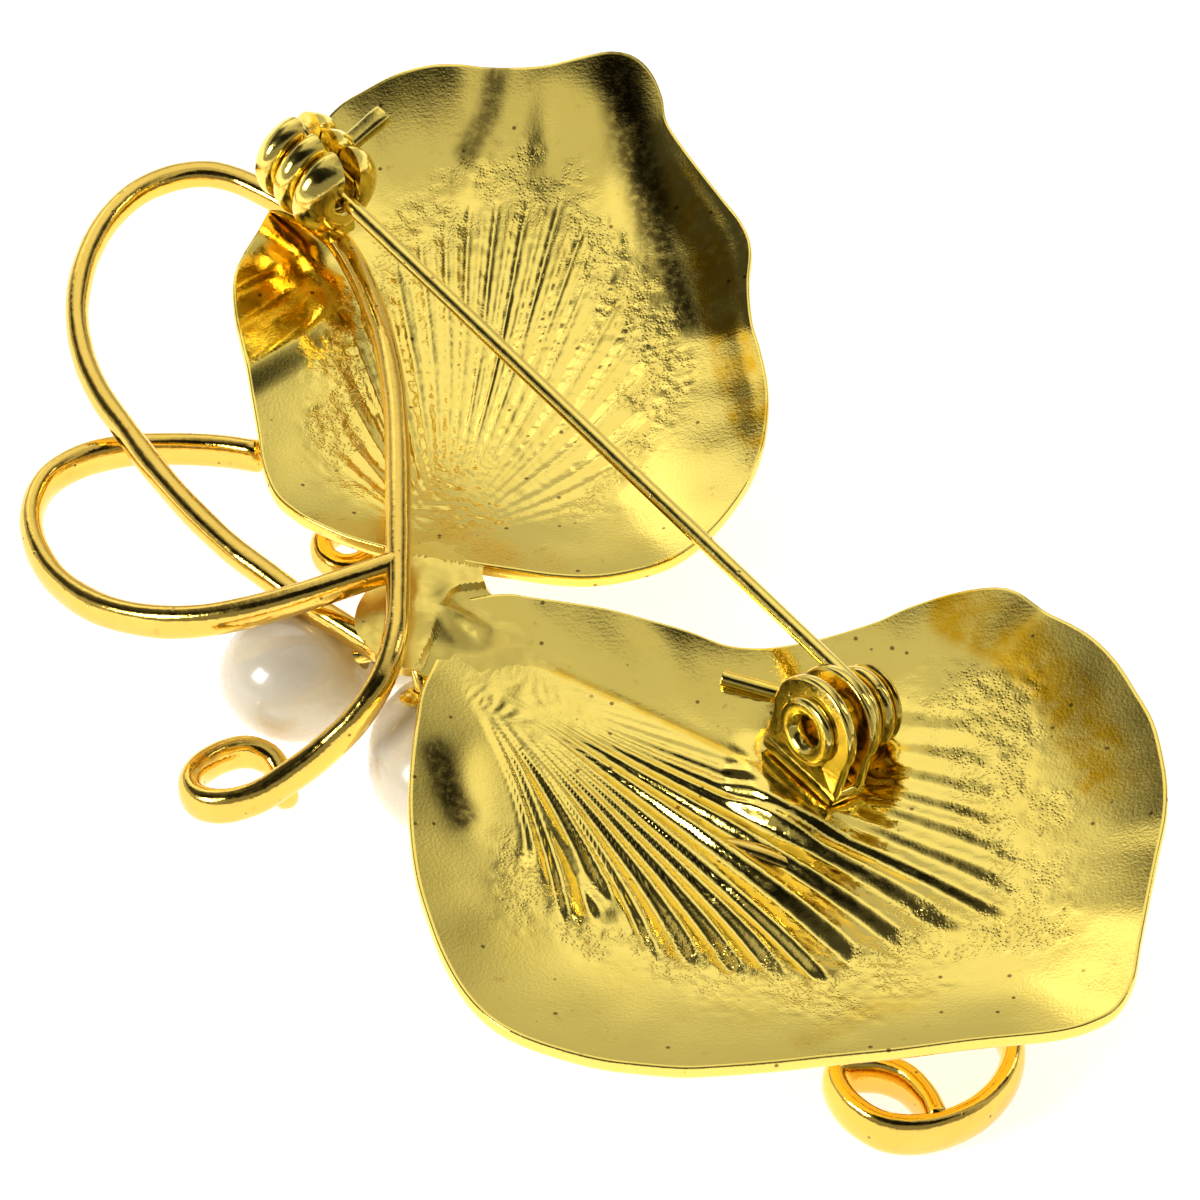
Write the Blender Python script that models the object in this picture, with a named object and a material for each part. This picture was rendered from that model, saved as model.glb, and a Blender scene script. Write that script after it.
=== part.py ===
"""Brooch, lying on its front with the pin side up: two ribbed leaf shells on a cast hub,
four wire tendrils, three half-drilled pearls on posts, a rotating safety catch and a
riveted hinge with a sprung pin.  Lengths below are millimetres; meshes are built in metres."""

import math

import bmesh
import bpy
import numpy as np
from mathutils import Vector

# ---------------------------------------------------------------- driving dimensions (mm)
MM = 0.001
GAP = 0.06                 # clearance kept between soldered neighbours

VIEW_ELEVATION = 50.0      # degrees: the oblique view in which the outlines were drawn
VIEW_SCALE = 20.0          # drawing units per mm at the aim point
VIEW_DISTANCE = 330.0      # eye to aim point
AIM_HEIGHT = 8.0           # aim point above the resting plane
DRAWING_MIDDLE = 600.0     # the aim point lies here in the drawing, across and down
CENTRE_X = -1.07            # middle of the brooch's box, from the aim point
CENTRE_Y = 3.73

LEAF_THICK = 0.85
PEARL_R = 3.5
PEARL_HOLE_R = 0.55
PEARL_HOLE_DEPTH = 2.4
POST_R = 0.45
CUP_THICK = 0.26
CUP_ANGLE = 20.0           # half angle of the cup's cap

HUB_BOTTOM = 8.3
HUB_TOP = 9.1
BOSS_R = 0.9
BOSS_BOTTOM = 5.5

TAPE_HALF_THICK = 0.6      # tendril tape, half of its thickness in plan
TAPE_SIDES = 8

PIN_R = 0.42
COIL_R = 1.75              # axle to wire centre
COIL_SWEEP = 285.0         # degrees of one coil ring
AXLE_HEIGHT = 9.6          # at the front ear
EAR_HALF = 0.3
EAR_R = 2.75
EAR_2_AT = 1.5             # along the axle from the front ear
BASE_DROP = 3.1            # axle to the underside of the bracket
COIL_1_AT = 2.27
COIL_2_AT = 3.22
RIVET_R = 1.2
RIVET_BORE = 0.7
EAR_HOLE_R = 1.3

LOBE_R = 2.6               # rotating catch: outer radius of its three lobes
LOBE_PITCH = 1.62
LOBE_HALF = 0.74
CATCH_BORE = 1.28
SLEEVE_R = 1.18
SLEEVE_BORE = 0.72
SLOT_HALF = 0.52
SLOT_LEAN = 15.0           # degrees from upright, the way the pin lifts out
LEVER_LEAN = 72.0
LEVER_REACH = 4.9

# ---------------------------------------------------------------- outlines: across, down, height
UPPER_LEAF_MIDDLE = (505, 345, 5.5)
UPPER_LEAF = [
    (337, 108, 7.6), (366, 90, 8.2), (398, 74, 8.8), (430, 65, 9.2), (459, 64, 9.3), (487, 67, 9.1),
    (523, 67, 9.0), (551, 64, 9.2), (587, 55, 9.6), (612, 51, 9.8), (634, 56, 9.7), (651, 72, 9.3),
    (662, 97, 8.8), (667, 122, 8.4), (691, 158, 8.3), (719, 194, 8.6), (741, 222, 9.0), (750, 247, 9.1),
    (748, 283, 8.7), (751, 319, 8.4), (759, 347, 8.6), (766, 379, 8.9), (767, 408, 9.0), (762, 444, 9.0),
    (748, 479, 8.8), (723, 515, 8.5), (698, 540, 8.3), (666, 560, 8.1), (623, 572, 8.0), (587, 576, 8.0),
    (551, 574, 8.0), (516, 569, 8.1), (476, 563, 8.1), (440, 556, 8.15), (410, 551, 8.15), (387, 547, 8.1),
    (348, 536, 7.9), (319, 524, 7.8), (298, 513, 7.7), (276, 494, 7.6), (264, 465, 7.5), (259, 433, 7.4),
    (253, 397, 7.4), (248, 369, 7.5), (241, 336, 7.7), (235, 304, 7.8), (235, 276, 7.7), (244, 254, 7.4),
    (257, 233, 7.0), (267, 215, 6.6), (285, 182, 6.4), (308, 143, 6.8),
]
LOWER_LEAF_MIDDLE = (770, 838, 6.0)
LOWER_LEAF = [
    (460, 604, 8.15), (478, 597, 8.15), (508, 594, 8.15), (529, 597, 8.1), (573, 603, 8.1), (612, 610, 8.1),
    (651, 620, 8.0), (691, 632, 8.0), (728, 645, 7.9), (766, 648, 7.9), (808, 642, 8.0), (839, 634, 8.1),
    (878, 621, 8.2), (903, 610, 8.4), (935, 599, 8.6), (967, 591, 8.9), (999, 588, 9.2), (1018, 593, 9.2),
    (1034, 604, 9.0), (1047, 613, 8.9), (1072, 625, 9.1), (1094, 639, 9.3), (1117, 663, 9.4), (1136, 692, 9.4),
    (1152, 720, 9.4), (1161, 752, 9.4), (1166, 784, 9.4), (1165, 816, 9.3), (1158, 851, 9.2), (1152, 880, 9.1),
    (1145, 915, 9.0), (1139, 947, 9.1), (1133, 979, 9.2), (1117, 1007, 9.1), (1091, 1022, 8.9), (1063, 1030, 8.7),
    (1024, 1035, 8.5), (967, 1040, 8.4), (903, 1048, 8.4), (839, 1054, 8.4), (776, 1061, 8.5), (712, 1066, 8.6),
    (680, 1067, 8.6), (640, 1064, 8.7), (600, 1059, 8.7), (560, 1049, 8.8), (520, 1035, 8.8), (490, 1018, 8.8),
    (465, 992, 8.8), (445, 958, 8.8), (430, 920, 8.8), (418, 880, 8.7), (412, 840, 8.6), (410, 800, 8.7),
    (412, 760, 8.8), (417, 720, 8.7), (422, 690, 8.4), (434, 664, 8.15), (450, 632, 8.15),
]
HUB_OUTLINE = [
    (384, 552), (408, 543), (437, 540), (458, 548), (466, 575), (466, 602), (458, 636), (434, 660),
    (408, 666), (392, 654), (370, 640), (355, 622), (357, 600), (374, 575),
]
# tendrils: across, down, height of the tape's middle
CATCH_TENDRIL = [
    (377, 648, 7.38), (340, 625, 7.4), (300, 600, 7.4), (270, 578, 7.5), (230, 548, 7.6), (190, 510, 7.7),
    (155, 470, 7.8), (125, 430, 7.8), (100, 395, 7.8), (83, 355, 7.8), (77, 310, 7.8), (85, 265, 7.8),
    (105, 225, 7.7), (135, 195, 7.6), (170, 179, 7.5), (205, 174, 7.45), (235, 180, 7.4), (262, 192, 7.35),
    (288, 206, 7.3), (310, 218, 7.3), (332, 234, 7.35), (350, 258, 7.6), (368, 295, 8.0), (384, 342, 8.5), (393, 390, 9.0),
    (397, 440, 9.5), (398, 500, 9.9), (398, 560, 10.05), (398, 600, 10.05), (395, 640, 10.05), (382, 680, 9.5),
    (356, 720, 8.1), (322, 753, 6.6), (290, 777, 5.6), (258, 797, 4.8), (225, 806, 4.2), (199, 802, 3.8),
    (190, 788, 3.5), (199, 771, 3.2), (222, 757, 2.9), (248, 752, 2.6), (270, 760, 2.3), (282, 778, 2.0), (286, 797, 1.8),
]
LEFT_TENDRIL = [
    (377, 572, 9.95), (345, 583, 9.75), (300, 598, 9.3), (250, 612, 8.6), (200, 621, 7.8), (150, 621, 7.0),
    (100, 609, 6.3), (60, 584, 5.8), (37, 550, 5.5), (32, 515, 5.2), (47, 483, 5.0), (80, 462, 4.9),
    (125, 451, 4.9), (175, 449, 5.0), (220, 451, 5.35), (256, 456, 5.72),
]
UPPER_FRONT_TENDRIL = [
    (366, 541, 4.2), (372, 553, 4.15), (362, 565, 4.1), (342, 568, 4.05), (325, 558, 4.0), (324, 541, 3.95),
    (345, 526, 3.9), (380, 508, 3.8), (430, 480, 3.6), (480, 440, 3.3), (525, 396, 2.9), (560, 350, 2.3),
    (585, 305, 1.7), (605, 262, 1.2), (628, 230, 1.0), (658, 226, 1.0), (674, 250, 1.0), (668, 280, 1.0), (644, 290, 1.0),
]
LOWER_FRONT_TENDRIL = [
    (640, 845, 3.7), (700, 862, 3.7), (780, 890, 3.5), (860, 925, 3.0), (930, 965, 2.3), (985, 1005, 1.6),
    (1011, 1050, 1.1), (1005, 1088, 1.0), (975, 1120, 1.0), (930, 1138, 1.0), (885, 1137, 1.0), (850, 1116, 1.0),
    (834, 1085, 1.0), (842, 1058, 1.0), (868, 1045, 1.0), (900, 1050, 1.0), (922, 1072, 1.0), (934, 1100, 1.0),
]
HINGE_EAR_1 = (815, 728, AXLE_HEIGHT)
AXLE_DIRECTION = (0.744, 0.618, -0.259)
CATCH_AT = (316, 172, 11.45)
TAIL_END = (724, 686)
PEARLS = {"left": (290, 675), "lower": (440, 757), "centre": (430, 628)}
POSTS = {"left": (378, 650, 6.05), "lower": (418, 664, 7.95), "centre": (430, 577, 8.2)}


# ---------------------------------------------------------------- geometry helpers (mm)
def from_view(u, v, z):
    """The point at height z that the drawing shows at (u, v)."""
    e = math.radians(VIEW_ELEVATION)
    f = VIEW_SCALE * VIEW_DISTANCE
    ahead = Vector((0, math.cos(e), -math.sin(e)))
    up = Vector((0, math.sin(e), math.cos(e)))
    eye = Vector((0, 0, AIM_HEIGHT)) - ahead * VIEW_DISTANCE
    ray = ahead + Vector((1, 0, 0)) * ((u - DRAWING_MIDDLE) / f) + up * ((DRAWING_MIDDLE - v) / f)
    p = eye + ray * ((z - eye.z) / ray.z)
    return Vector((p.x - CENTRE_X, p.y - CENTRE_Y, z))


def spline(points, step=None, closed=False, per=10):
    """A smooth curve through the points, even along its length when a step is given."""
    p = np.array([tuple(q) for q in points], float)
    if closed:
        p = np.vstack([p[-1], p, p[0], p[1]])
    else:
        p = np.vstack([2 * p[0] - p[1], p, 2 * p[-1] - p[-2]])
    out = []
    for i in range(1, len(p) - 2):
        a, b, c, d = p[i - 1], p[i], p[i + 1], p[i + 2]
        for t in np.arange(per) / per:
            out.append(
                0.5 * (2 * b + (c - a) * t + (2 * a - 5 * b + 4 * c - d) * t**2 + (3 * b - a - 3 * c + d) * t**3)
            )
    if not closed:
        out.append(p[-2])
    out = np.array(out)
    if step:
        run = np.r_[0, np.cumsum(np.linalg.norm(np.diff(out, axis=0), axis=1))]
        at = np.linspace(0, run[-1], max(4, int(round(run[-1] / step)) + 1))
        out = np.stack([np.interp(at, run, out[:, k]) for k in range(3)], 1)
    return out


class Leaf:
    """A dished leaf: polar outline about its middle, rim heights, and a floor."""

    def __init__(self, middle, outline, power, pad=None):
        self.middle = from_view(*middle)
        rim = spline([from_view(*q) for q in outline], closed=True)
        x, y = rim[:, 0] - self.middle.x, rim[:, 1] - self.middle.y
        turn = np.arctan2(y, x)
        order = np.argsort(turn)
        self.turn, self.reach, self.rim = turn[order], np.hypot(x, y)[order], rim[order, 2]
        self.power, self.pad = power, pad

    def edge(self, turn):
        return np.interp(turn, self.turn, self.reach, period=2 * math.pi)

    def height(self, x, y):
        dx, dy = x - self.middle.x, y - self.middle.y
        turn = np.arctan2(dy, dx)
        share = np.clip(np.hypot(dx, dy) / self.edge(turn), 0, 1.05)
        rim = np.interp(turn, self.turn, self.rim, period=2 * math.pi)
        z = self.middle.z + (rim - self.middle.z) * share**self.power
        if self.pad:  # a flat seat under the hinge bracket
            at, normal, near, far = self.pad
            flat = at.z - ((x - at.x) * normal.x + (y - at.y) * normal.y) / normal.z
            w = np.clip((far - np.hypot(x - at.x, y - at.y)) / (far - near), 0, 1)
            w = w * w * (3 - 2 * w)
            z = z * (1 - w) + flat * w
        return z


# ---------------------------------------------------------------- mesh helpers
def new_object(name, bm, material, origin=None, smooth=35.0):
    bmesh.ops.recalc_face_normals(bm, faces=bm.faces)
    origin = Vector(origin) if origin is not None else Vector((0, 0, 0))
    for v in bm.verts:
        v.co = (v.co - origin) * MM
    mesh = bpy.data.meshes.new(name)
    bm.to_mesh(mesh)
    bm.free()
    mesh.shade_smooth()
    mesh.set_sharp_from_angle(angle=math.radians(smooth))
    ob = bpy.data.objects.new(name, mesh)
    ob.location = origin * MM
    if material:
        mesh.materials.append(material)
    bpy.context.scene.collection.objects.link(ob)
    return ob


def helper(name, bm, origin=None):
    ob = new_object(name, bm, None, origin)
    ob.hide_render = True
    ob.display_type = "WIRE"
    return ob


def join(ob, other):
    m = ob.modifiers.new("join_" + other.name, "BOOLEAN")
    m.operation, m.solver, m.object = "UNION", "EXACT", other


def grid_faces(bm, rows, close_rows, close_cols):
    """Quads between rows of vertices."""
    n, m = len(rows), len(rows[0])
    for i in range(n if close_rows else n - 1):
        for j in range(m if close_cols else m - 1):
            a, b = rows[i], rows[(i + 1) % n]
            bm.faces.new((a[j], a[(j + 1) % m], b[(j + 1) % m], b[j]))


def sweep(path, half_thick, half_tall, sides, reference):
    """A closed tube of oval section along a path; its tall way leans as little as it can from reference."""
    bm = bmesh.new()
    n = len(path)
    half_thick = np.broadcast_to(half_thick, n)
    half_tall = np.broadcast_to(half_tall, n)
    rows = []
    for i in range(n):
        t = Vector(path[min(i + 1, n - 1)] - path[max(i - 1, 0)]).normalized()
        side = t.cross(reference).normalized()
        up = side.cross(t)
        rows.append(
            [
                bm.verts.new(
                    Vector(path[i])
                    + side * (half_thick[i] * math.cos(2 * math.pi * k / sides))
                    + up * (half_tall[i] * math.sin(2 * math.pi * k / sides))
                )
                for k in range(sides)
            ]
        )
    grid_faces(bm, rows, False, True)
    bm.faces.new(rows[0])
    bm.faces.new(rows[-1])
    return bm


def lathe(profile, at, axis, segments, poles=False, reference=Vector((0.3, 0.2, 1))):
    """A closed profile of (radius, along) turned about the axis; poles: the ends of the profile lie on the axis."""
    axis = Vector(axis).normalized()
    e1 = (Vector(reference) - axis * Vector(reference).dot(axis)).normalized()
    e2 = axis.cross(e1)
    bm = bmesh.new()
    rows = []
    for k in range(segments):
        w = 2 * math.pi * k / segments
        way = e1 * math.cos(w) + e2 * math.sin(w)
        rows.append([bm.verts.new(Vector(at) + way * r + axis * h) for r, h in profile])
    grid_faces(bm, rows, True, not poles)
    bmesh.ops.remove_doubles(bm, verts=bm.verts, dist=1e-6)
    return bm


def split_ring(profile, at, axis, up, lean, slot_half, segments):
    """A profile of (radius, along) turned about the axis, with a parallel-sided slot cut from bore to rim.
    lean is the slot's angle from up, in degrees, towards axis x up."""
    axis, up = Vector(axis).normalized(), Vector(up)
    up = (up - axis * up.dot(axis)).normalized()
    side = axis.cross(up)
    bm = bmesh.new()
    rows = []
    for k in range(segments + 1):
        row = []
        for r, h in profile:
            first = math.asin(slot_half / r)
            w = math.radians(lean) + first + (2 * math.pi - 2 * first) * k / segments
            row.append(bm.verts.new(Vector(at) + up * (r * math.cos(w)) + side * (r * math.sin(w)) + axis * h))
        rows.append(row)
    grid_faces(bm, rows, False, True)
    bm.faces.new(rows[0])
    bm.faces.new(rows[-1])
    return bm


def prism(outline, lift):
    """An outline of points extruded by a vector."""
    bm = bmesh.new()
    low = [bm.verts.new(Vector(p)) for p in outline]
    high = [bm.verts.new(Vector(p) + Vector(lift)) for p in outline]
    grid_faces(bm, [low, high], False, True)
    bm.faces.new(low)
    bm.faces.new(high)
    return bm


def leaf_solid(leaf, around, rings):
    bm = bmesh.new()
    tops, lows = [], []
    turns = np.arange(around) * 2 * math.pi / around
    reach = leaf.edge(turns)
    for i in range(1, rings + 1):
        share = (i / rings) ** 0.85
        x = leaf.middle.x + np.cos(turns) * reach * share
        y = leaf.middle.y + np.sin(turns) * reach * share
        z = leaf.height(x, y)
        tops.append([bm.verts.new((x[k], y[k], z[k])) for k in range(around)])
        lows.append([bm.verts.new((x[k], y[k], z[k] - LEAF_THICK)) for k in range(around)])
    for rows, drop in ((tops, 0.0), (lows, LEAF_THICK)):
        grid_faces(bm, rows, False, True)
        z = float(leaf.height(np.array(leaf.middle.x), np.array(leaf.middle.y))) - drop
        mid = bm.verts.new((leaf.middle.x, leaf.middle.y, z))
        for k in range(around):
            bm.faces.new((mid, rows[0][k], rows[0][(k + 1) % around]))
    grid_faces(bm, [tops[-1], lows[-1]], False, True)
    return bm


def material(name, colour, metallic, roughness):
    m = bpy.data.materials.new(name)
    m.use_nodes = True
    shader = m.node_tree.nodes["Principled BSDF"]
    shader.inputs["Base Color"].default_value = (*colour, 1)
    shader.inputs["Metallic"].default_value = metallic
    shader.inputs["Roughness"].default_value = roughness
    return m


# ---------------------------------------------------------------- hinge and catch frames
AXLE = Vector(AXLE_DIRECTION).normalized()
RISE = (Vector((0, 0, 1)) - AXLE * AXLE.z).normalized()   # upright on the leaf, square to the axle
ALONG = AXLE.cross(RISE)                                  # away from the catch, square to both


def hinge_point(along, rise, s):
    """A point in the hinge's own frame; s runs along the axle from the front ear."""
    return from_view(*HINGE_EAR_1) + ALONG * along + RISE * rise + AXLE * s


def catch_frame():
    """(middle of the catch, the pin's way into it, upright, sideways)."""
    start = hinge_point(0, COIL_R, COIL_1_AT)
    at = from_view(*CATCH_AT)
    way = (at - start).normalized()
    up = (Vector((0, 0, 1)) - way * way.z).normalized()
    return at, way, up, up.cross(way) * -1


def leaves():
    upper = Leaf(UPPER_LEAF_MIDDLE, UPPER_LEAF, 2.3)
    seat = hinge_point(0, -BASE_DROP - 3 * GAP, EAR_2_AT / 2)
    lower = Leaf(LOWER_LEAF_MIDDLE, LOWER_LEAF, 2.3, (seat, RISE, 4.2, 7.2))
    return upper, lower


# ---------------------------------------------------------------- the pieces
def rounded_lobe(inner, outer, half, middle, turns=5):
    """Lobe profile: straight bore, full round rim."""
    points = [(inner, middle + half), (inner, middle - half)]
    flat = outer - half
    for k in range(turns + 1):
        w = -math.pi / 2 + math.pi * k / turns
        points.append((flat + half * math.cos(w), middle + half * math.sin(w)))
    return points


def tape_heights(n, keys):
    """Half heights along a tape from (share of length, half height) keys."""
    at, tall = zip(*keys)
    return np.interp(np.linspace(0, 1, n), at, tall)


def lie_under(path, tall, leaf, first, last, ease=0.14):
    """Lifts the stretch of a tape between two shares of its length until it bears on the leaf's front."""
    share = np.linspace(0, 1, len(path))
    w = np.clip(1 - np.maximum(first - share, share - last) / ease, 0, 1)
    w = w * w * (3 - 2 * w)
    roof = leaf.height(path[:, 0], path[:, 1]) - LEAF_THICK - tall - 3 * GAP
    path[:, 2] += w * (roof - path[:, 2])


def build():
    for ob in list(bpy.data.objects):
        bpy.data.objects.remove(ob, do_unlink=True)

    gold = material("gold_plate", (0.93, 0.72, 0.22), 1.0, 0.16)
    gold_wire = material("gold_wire", (0.92, 0.68, 0.2), 1.0, 0.14)
    pearl_white = material("pearl", (0.9, 0.87, 0.82), 0.0, 0.22)

    root = bpy.data.objects.new("brooch", None)
    bpy.context.scene.collection.objects.link(root)
    made = []

    upper, lower = leaves()
    made.append(new_object("upper_leaf", leaf_solid(upper, 60, 5), gold, smooth=60))
    made.append(new_object("lower_leaf", leaf_solid(lower, 64, 6), gold, smooth=60))

    # hub: a flat cast web with a boss below it that carries the pearl posts
    flat = spline([from_view(u, v, HUB_TOP) for u, v in HUB_OUTLINE], closed=True, per=3)
    flat[:, 2] = HUB_BOTTOM
    hub = new_object("hub", prism(flat, (0, 0, HUB_TOP - HUB_BOTTOM)), gold)
    boss_at = from_view(408, 630, HUB_BOTTOM)
    low = BOSS_BOTTOM - HUB_BOTTOM
    boss = helper("hub_boss", lathe([(0, 0.3), (BOSS_R, 0.3), (BOSS_R, low + 0.2), (BOSS_R - 0.2, low), (0, low)],
                                    boss_at, (0, 0, 1), 24, poles=True))
    join(hub, boss)
    made.append(hub)

    # tendrils
    for name, points, keys, under in (
        ("catch_tendril", CATCH_TENDRIL, ((0, 0.72), (0.45, 0.66), (0.7, 0.75), (0.86, 0.8), (0.93, 0.85), (1, 0.7)), None),
        ("left_tendril", LEFT_TENDRIL, ((0, 0.72), (0.3, 0.85), (0.6, 0.9), (1, 0.85)), None),
        ("upper_front_tendril", UPPER_FRONT_TENDRIL, ((0, 0.8), (0.5, 0.85), (0.75, 0.95), (1, 0.95)), (upper, 0.36, 0.52)),
        ("lower_front_tendril", LOWER_FRONT_TENDRIL, ((0, 0.8), (0.3, 0.9), (1, 1.0)), (lower, 0.0, 0.2)),
    ):
        path = spline([from_view(*q) for q in points], step=1.5)
        tall = tape_heights(len(path), keys)
        if under:
            lie_under(path, tall, *under)
        made.append(new_object(name, sweep(path, TAPE_HALF_THICK, tall, TAPE_SIDES, Vector((0, 0, 1))), gold_wire))

    # pearls: half drilled, each on a post through a small cup
    for which in ("left", "lower", "centre"):
        at = from_view(*PEARLS[which], PEARL_R)
        top = from_view(*POSTS[which])
        way = (top - at).normalized()
        reach = (top - at).length
        rim = math.asin(PEARL_HOLE_R / PEARL_R)
        profile = [(0, PEARL_R - PEARL_HOLE_DEPTH), (PEARL_HOLE_R, PEARL_R - PEARL_HOLE_DEPTH)]
        steps = 9
        for k in range(steps + 1):
            w = rim + (math.pi - rim) * k / steps
            profile.append((PEARL_R * math.sin(w) if k < steps else 0.0, PEARL_R * math.cos(w)))
        made.append(new_object("pearl_" + which, lathe(profile, at, way, 20, poles=True), pearl_white))
        inner, outer = PEARL_R + GAP, PEARL_R + GAP + CUP_THICK
        ring = []
        for r, order in ((inner, range(3)), (outer, reversed(range(3)))):
            first = math.asin((POST_R + 0.1) / r)
            for k in order:
                w = first + (math.radians(CUP_ANGLE) - first) * k / 2
                ring.append((r * math.sin(w), r * math.cos(w)))
        made.append(new_object("pearl_cup_" + which, lathe(ring, at, way, 16), gold_wire))
        foot = PEARL_R - PEARL_HOLE_DEPTH + 0.15
        post = [(0, reach), (POST_R, reach), (POST_R, foot), (0, foot)]
        made.append(new_object("pearl_post_" + which, lathe(post, at, way, 12, poles=True), gold_wire))

    # hinge bracket: base plate and two pierced ears
    def ear(s):
        outline, bore = [], []
        count = 28
        for k in range(count):
            w = 2 * math.pi * k / count
            c, h = math.cos(w), math.sin(w)
            r = EAR_R
            if h < 0:
                r = min(2.6 / max(abs(c), 1e-6), (BASE_DROP - 0.3) / max(abs(h), 1e-6), 3.75)
            outline.append((c * r, h * r))
            bore.append((c * EAR_HOLE_R, h * EAR_HOLE_R))
        bm = bmesh.new()
        rows = []
        for ring, at in ((outline, s - EAR_HALF), (outline, s + EAR_HALF), (bore, s + EAR_HALF), (bore, s - EAR_HALF)):
            rows.append([bm.verts.new(hinge_point(a, b, at)) for a, b in ring])
        grid_faces(bm, rows, True, True)
        return bm

    bracket = new_object("hinge_bracket", ear(0.0), gold_wire)
    second = helper("hinge_ear_2", ear(EAR_2_AT))
    corners = [(-2.6, -BASE_DROP), (2.6, -BASE_DROP), (2.6, -BASE_DROP + 0.75), (-2.6, -BASE_DROP + 0.75)]
    base = helper("hinge_base", prism([hinge_point(a, b, -EAR_HALF - 0.02) for a, b in corners],
                                      AXLE * (EAR_2_AT + 2 * EAR_HALF + 0.04)))
    join(bracket, base)
    join(bracket, second)
    made.append(bracket)

    # tubular rivet: flared eyelet in front, flat head outside the coil
    front, end = -EAR_HALF - 0.05, COIL_2_AT + PIN_R + 0.08
    tube = [
        (RIVET_BORE, front - 0.1), (1.25, front - 0.55), (1.9, front - 0.6), (2.25, front - 0.35), (2.25, front),
        (RIVET_R, front), (RIVET_R, end), (1.95, end), (2.05, end + 0.15), (1.9, end + 0.4), (RIVET_BORE, end + 0.4),
    ]
    made.append(new_object("hinge_rivet", lathe(tube, hinge_point(0, 0, 0), AXLE, 20, reference=RISE), gold_wire))

    # pin: stem, and the first coil ring about the axle
    catch_at, way, up, side = catch_frame()
    axle_mid = hinge_point(0, 0, COIL_1_AT)
    tangent = hinge_point(0, COIL_R, COIL_1_AT)
    tip = catch_at + way * 1.9
    length = (tip - tangent).length
    path, thick = [], []
    for share in (0.0, 0.02, 0.05, 0.09, 0.14, 0.3, 0.5, 0.7, 0.9, 0.97):
        path.append(tip + (tangent - tip) * share)
        thick.append(PIN_R * min(1.0, 0.22 + share * 7.0))
    turns = 16
    for k in range(turns + 1):
        w = math.radians(90 - COIL_SWEEP * k / turns)
        path.append(axle_mid + ALONG * (COIL_R * math.cos(w)) + RISE * (COIL_R * math.sin(w)))
        thick.append(PIN_R)
    path = np.array([tuple(p) for p in path])
    made.append(new_object("pin_stem", sweep(path, np.array(thick), np.array(thick), 8, AXLE), gold_wire, origin=axle_mid))

    # spring: the second coil ring and the tail that bears on the leaf
    end_uv = TAIL_END
    tail_end = from_view(*end_uv, 7.0)
    tail_end.z = float(lower.height(np.array(tail_end.x), np.array(tail_end.y))) + PIN_R + 0.18
    tail_mid = hinge_point(-3.1, -COIL_R, 2.5)
    path = [tuple(p) for p in spline([tail_end, tail_end.lerp(tail_mid, 0.5), tail_mid, hinge_point(-1.0, -COIL_R, COIL_2_AT)], step=1.2)]
    for k in range(turns + 1):
        w = math.radians(-90 + COIL_SWEEP * k / turns)
        path.append(tuple(hinge_point(COIL_R * math.cos(w), COIL_R * math.sin(w), COIL_2_AT)))
    made.append(new_object("spring_tail", sweep(np.array(path), PIN_R - 0.02, PIN_R - 0.02, 8, AXLE), gold_wire))

    # catch housing: two slotted cheeks on a forked foot
    lean = SLOT_LEAN
    cheek = rounded_lobe(CATCH_BORE, LOBE_R, LOBE_HALF, -LOBE_PITCH)
    housing = new_object("catch_housing", split_ring(cheek, catch_at, way, up, lean, SLOT_HALF, 20), gold_wire)
    other = helper("catch_cheek_2", split_ring(rounded_lobe(CATCH_BORE, LOBE_R, LOBE_HALF, LOBE_PITCH),
                                               catch_at, way, up, lean, SLOT_HALF, 20))
    far, gap_half, low = LOBE_PITCH + 0.55, LOBE_PITCH - LOBE_HALF + 0.02, -3.25
    fork = [(-far, low), (far, low), (far, -1.7), (gap_half, -1.7), (gap_half, -LOBE_R - 0.12), (-gap_half, -LOBE_R - 0.12), (-gap_half, -1.7), (-far, -1.7)]
    foot = helper("catch_foot", prism([catch_at + way * h + up * z - side * 0.85 for h, z in fork], side * 1.7))
    join(housing, foot)
    join(housing, other)
    made.append(housing)

    # catch rotor: slotted sleeve in both cheeks, round flange between them, thumb lever
    h = LOBE_HALF - 0.02
    rotor_profile = [(SLEEVE_BORE, 2.3), (SLEEVE_BORE, -2.3), (SLEEVE_R, -2.3), (SLEEVE_R, -h)]
    rotor_profile += rounded_lobe(CATCH_BORE, LOBE_R, h, 0.0)[2:]
    rotor_profile += [(SLEEVE_R, h), (SLEEVE_R, 2.3)]
    rotor = new_object("catch_rotor", split_ring(rotor_profile, catch_at, way, up, lean, SLOT_HALF, 20), gold_wire, origin=catch_at)
    out = up * math.cos(math.radians(LEVER_LEAN)) + side * math.sin(math.radians(LEVER_LEAN))
    across = out.cross(way)
    section = [(0.42, 0.3), (0.42, -0.3), (-0.42, -0.3), (-0.42, 0.3)]
    lever = helper("catch_lever", prism([catch_at + out * 1.9 + way * a + across * b for a, b in section], out * (LEVER_REACH - 1.9)))
    join(rotor, lever)
    made.append(rotor)

    bpy.context.view_layer.update()
    pivots = {}
    for name, at in (("pin_pivot", axle_mid), ("catch_pivot", catch_at)):
        empty = bpy.data.objects.new(name, None)
        empty.location = at * MM
        empty.parent = root
        bpy.context.scene.collection.objects.link(empty)
        pivots[name] = empty
    bpy.context.view_layer.update()
    for ob in made:
        parent = {"pin_stem": pivots["pin_pivot"], "catch_rotor": pivots["catch_pivot"]}.get(ob.name, root)
        ob.parent = parent
        ob.matrix_parent_inverse = parent.matrix_world.inverted()
    return made


build()
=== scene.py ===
"""Looks of the brooch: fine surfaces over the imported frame, finishes, floor, light and camera."""

import math

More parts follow.
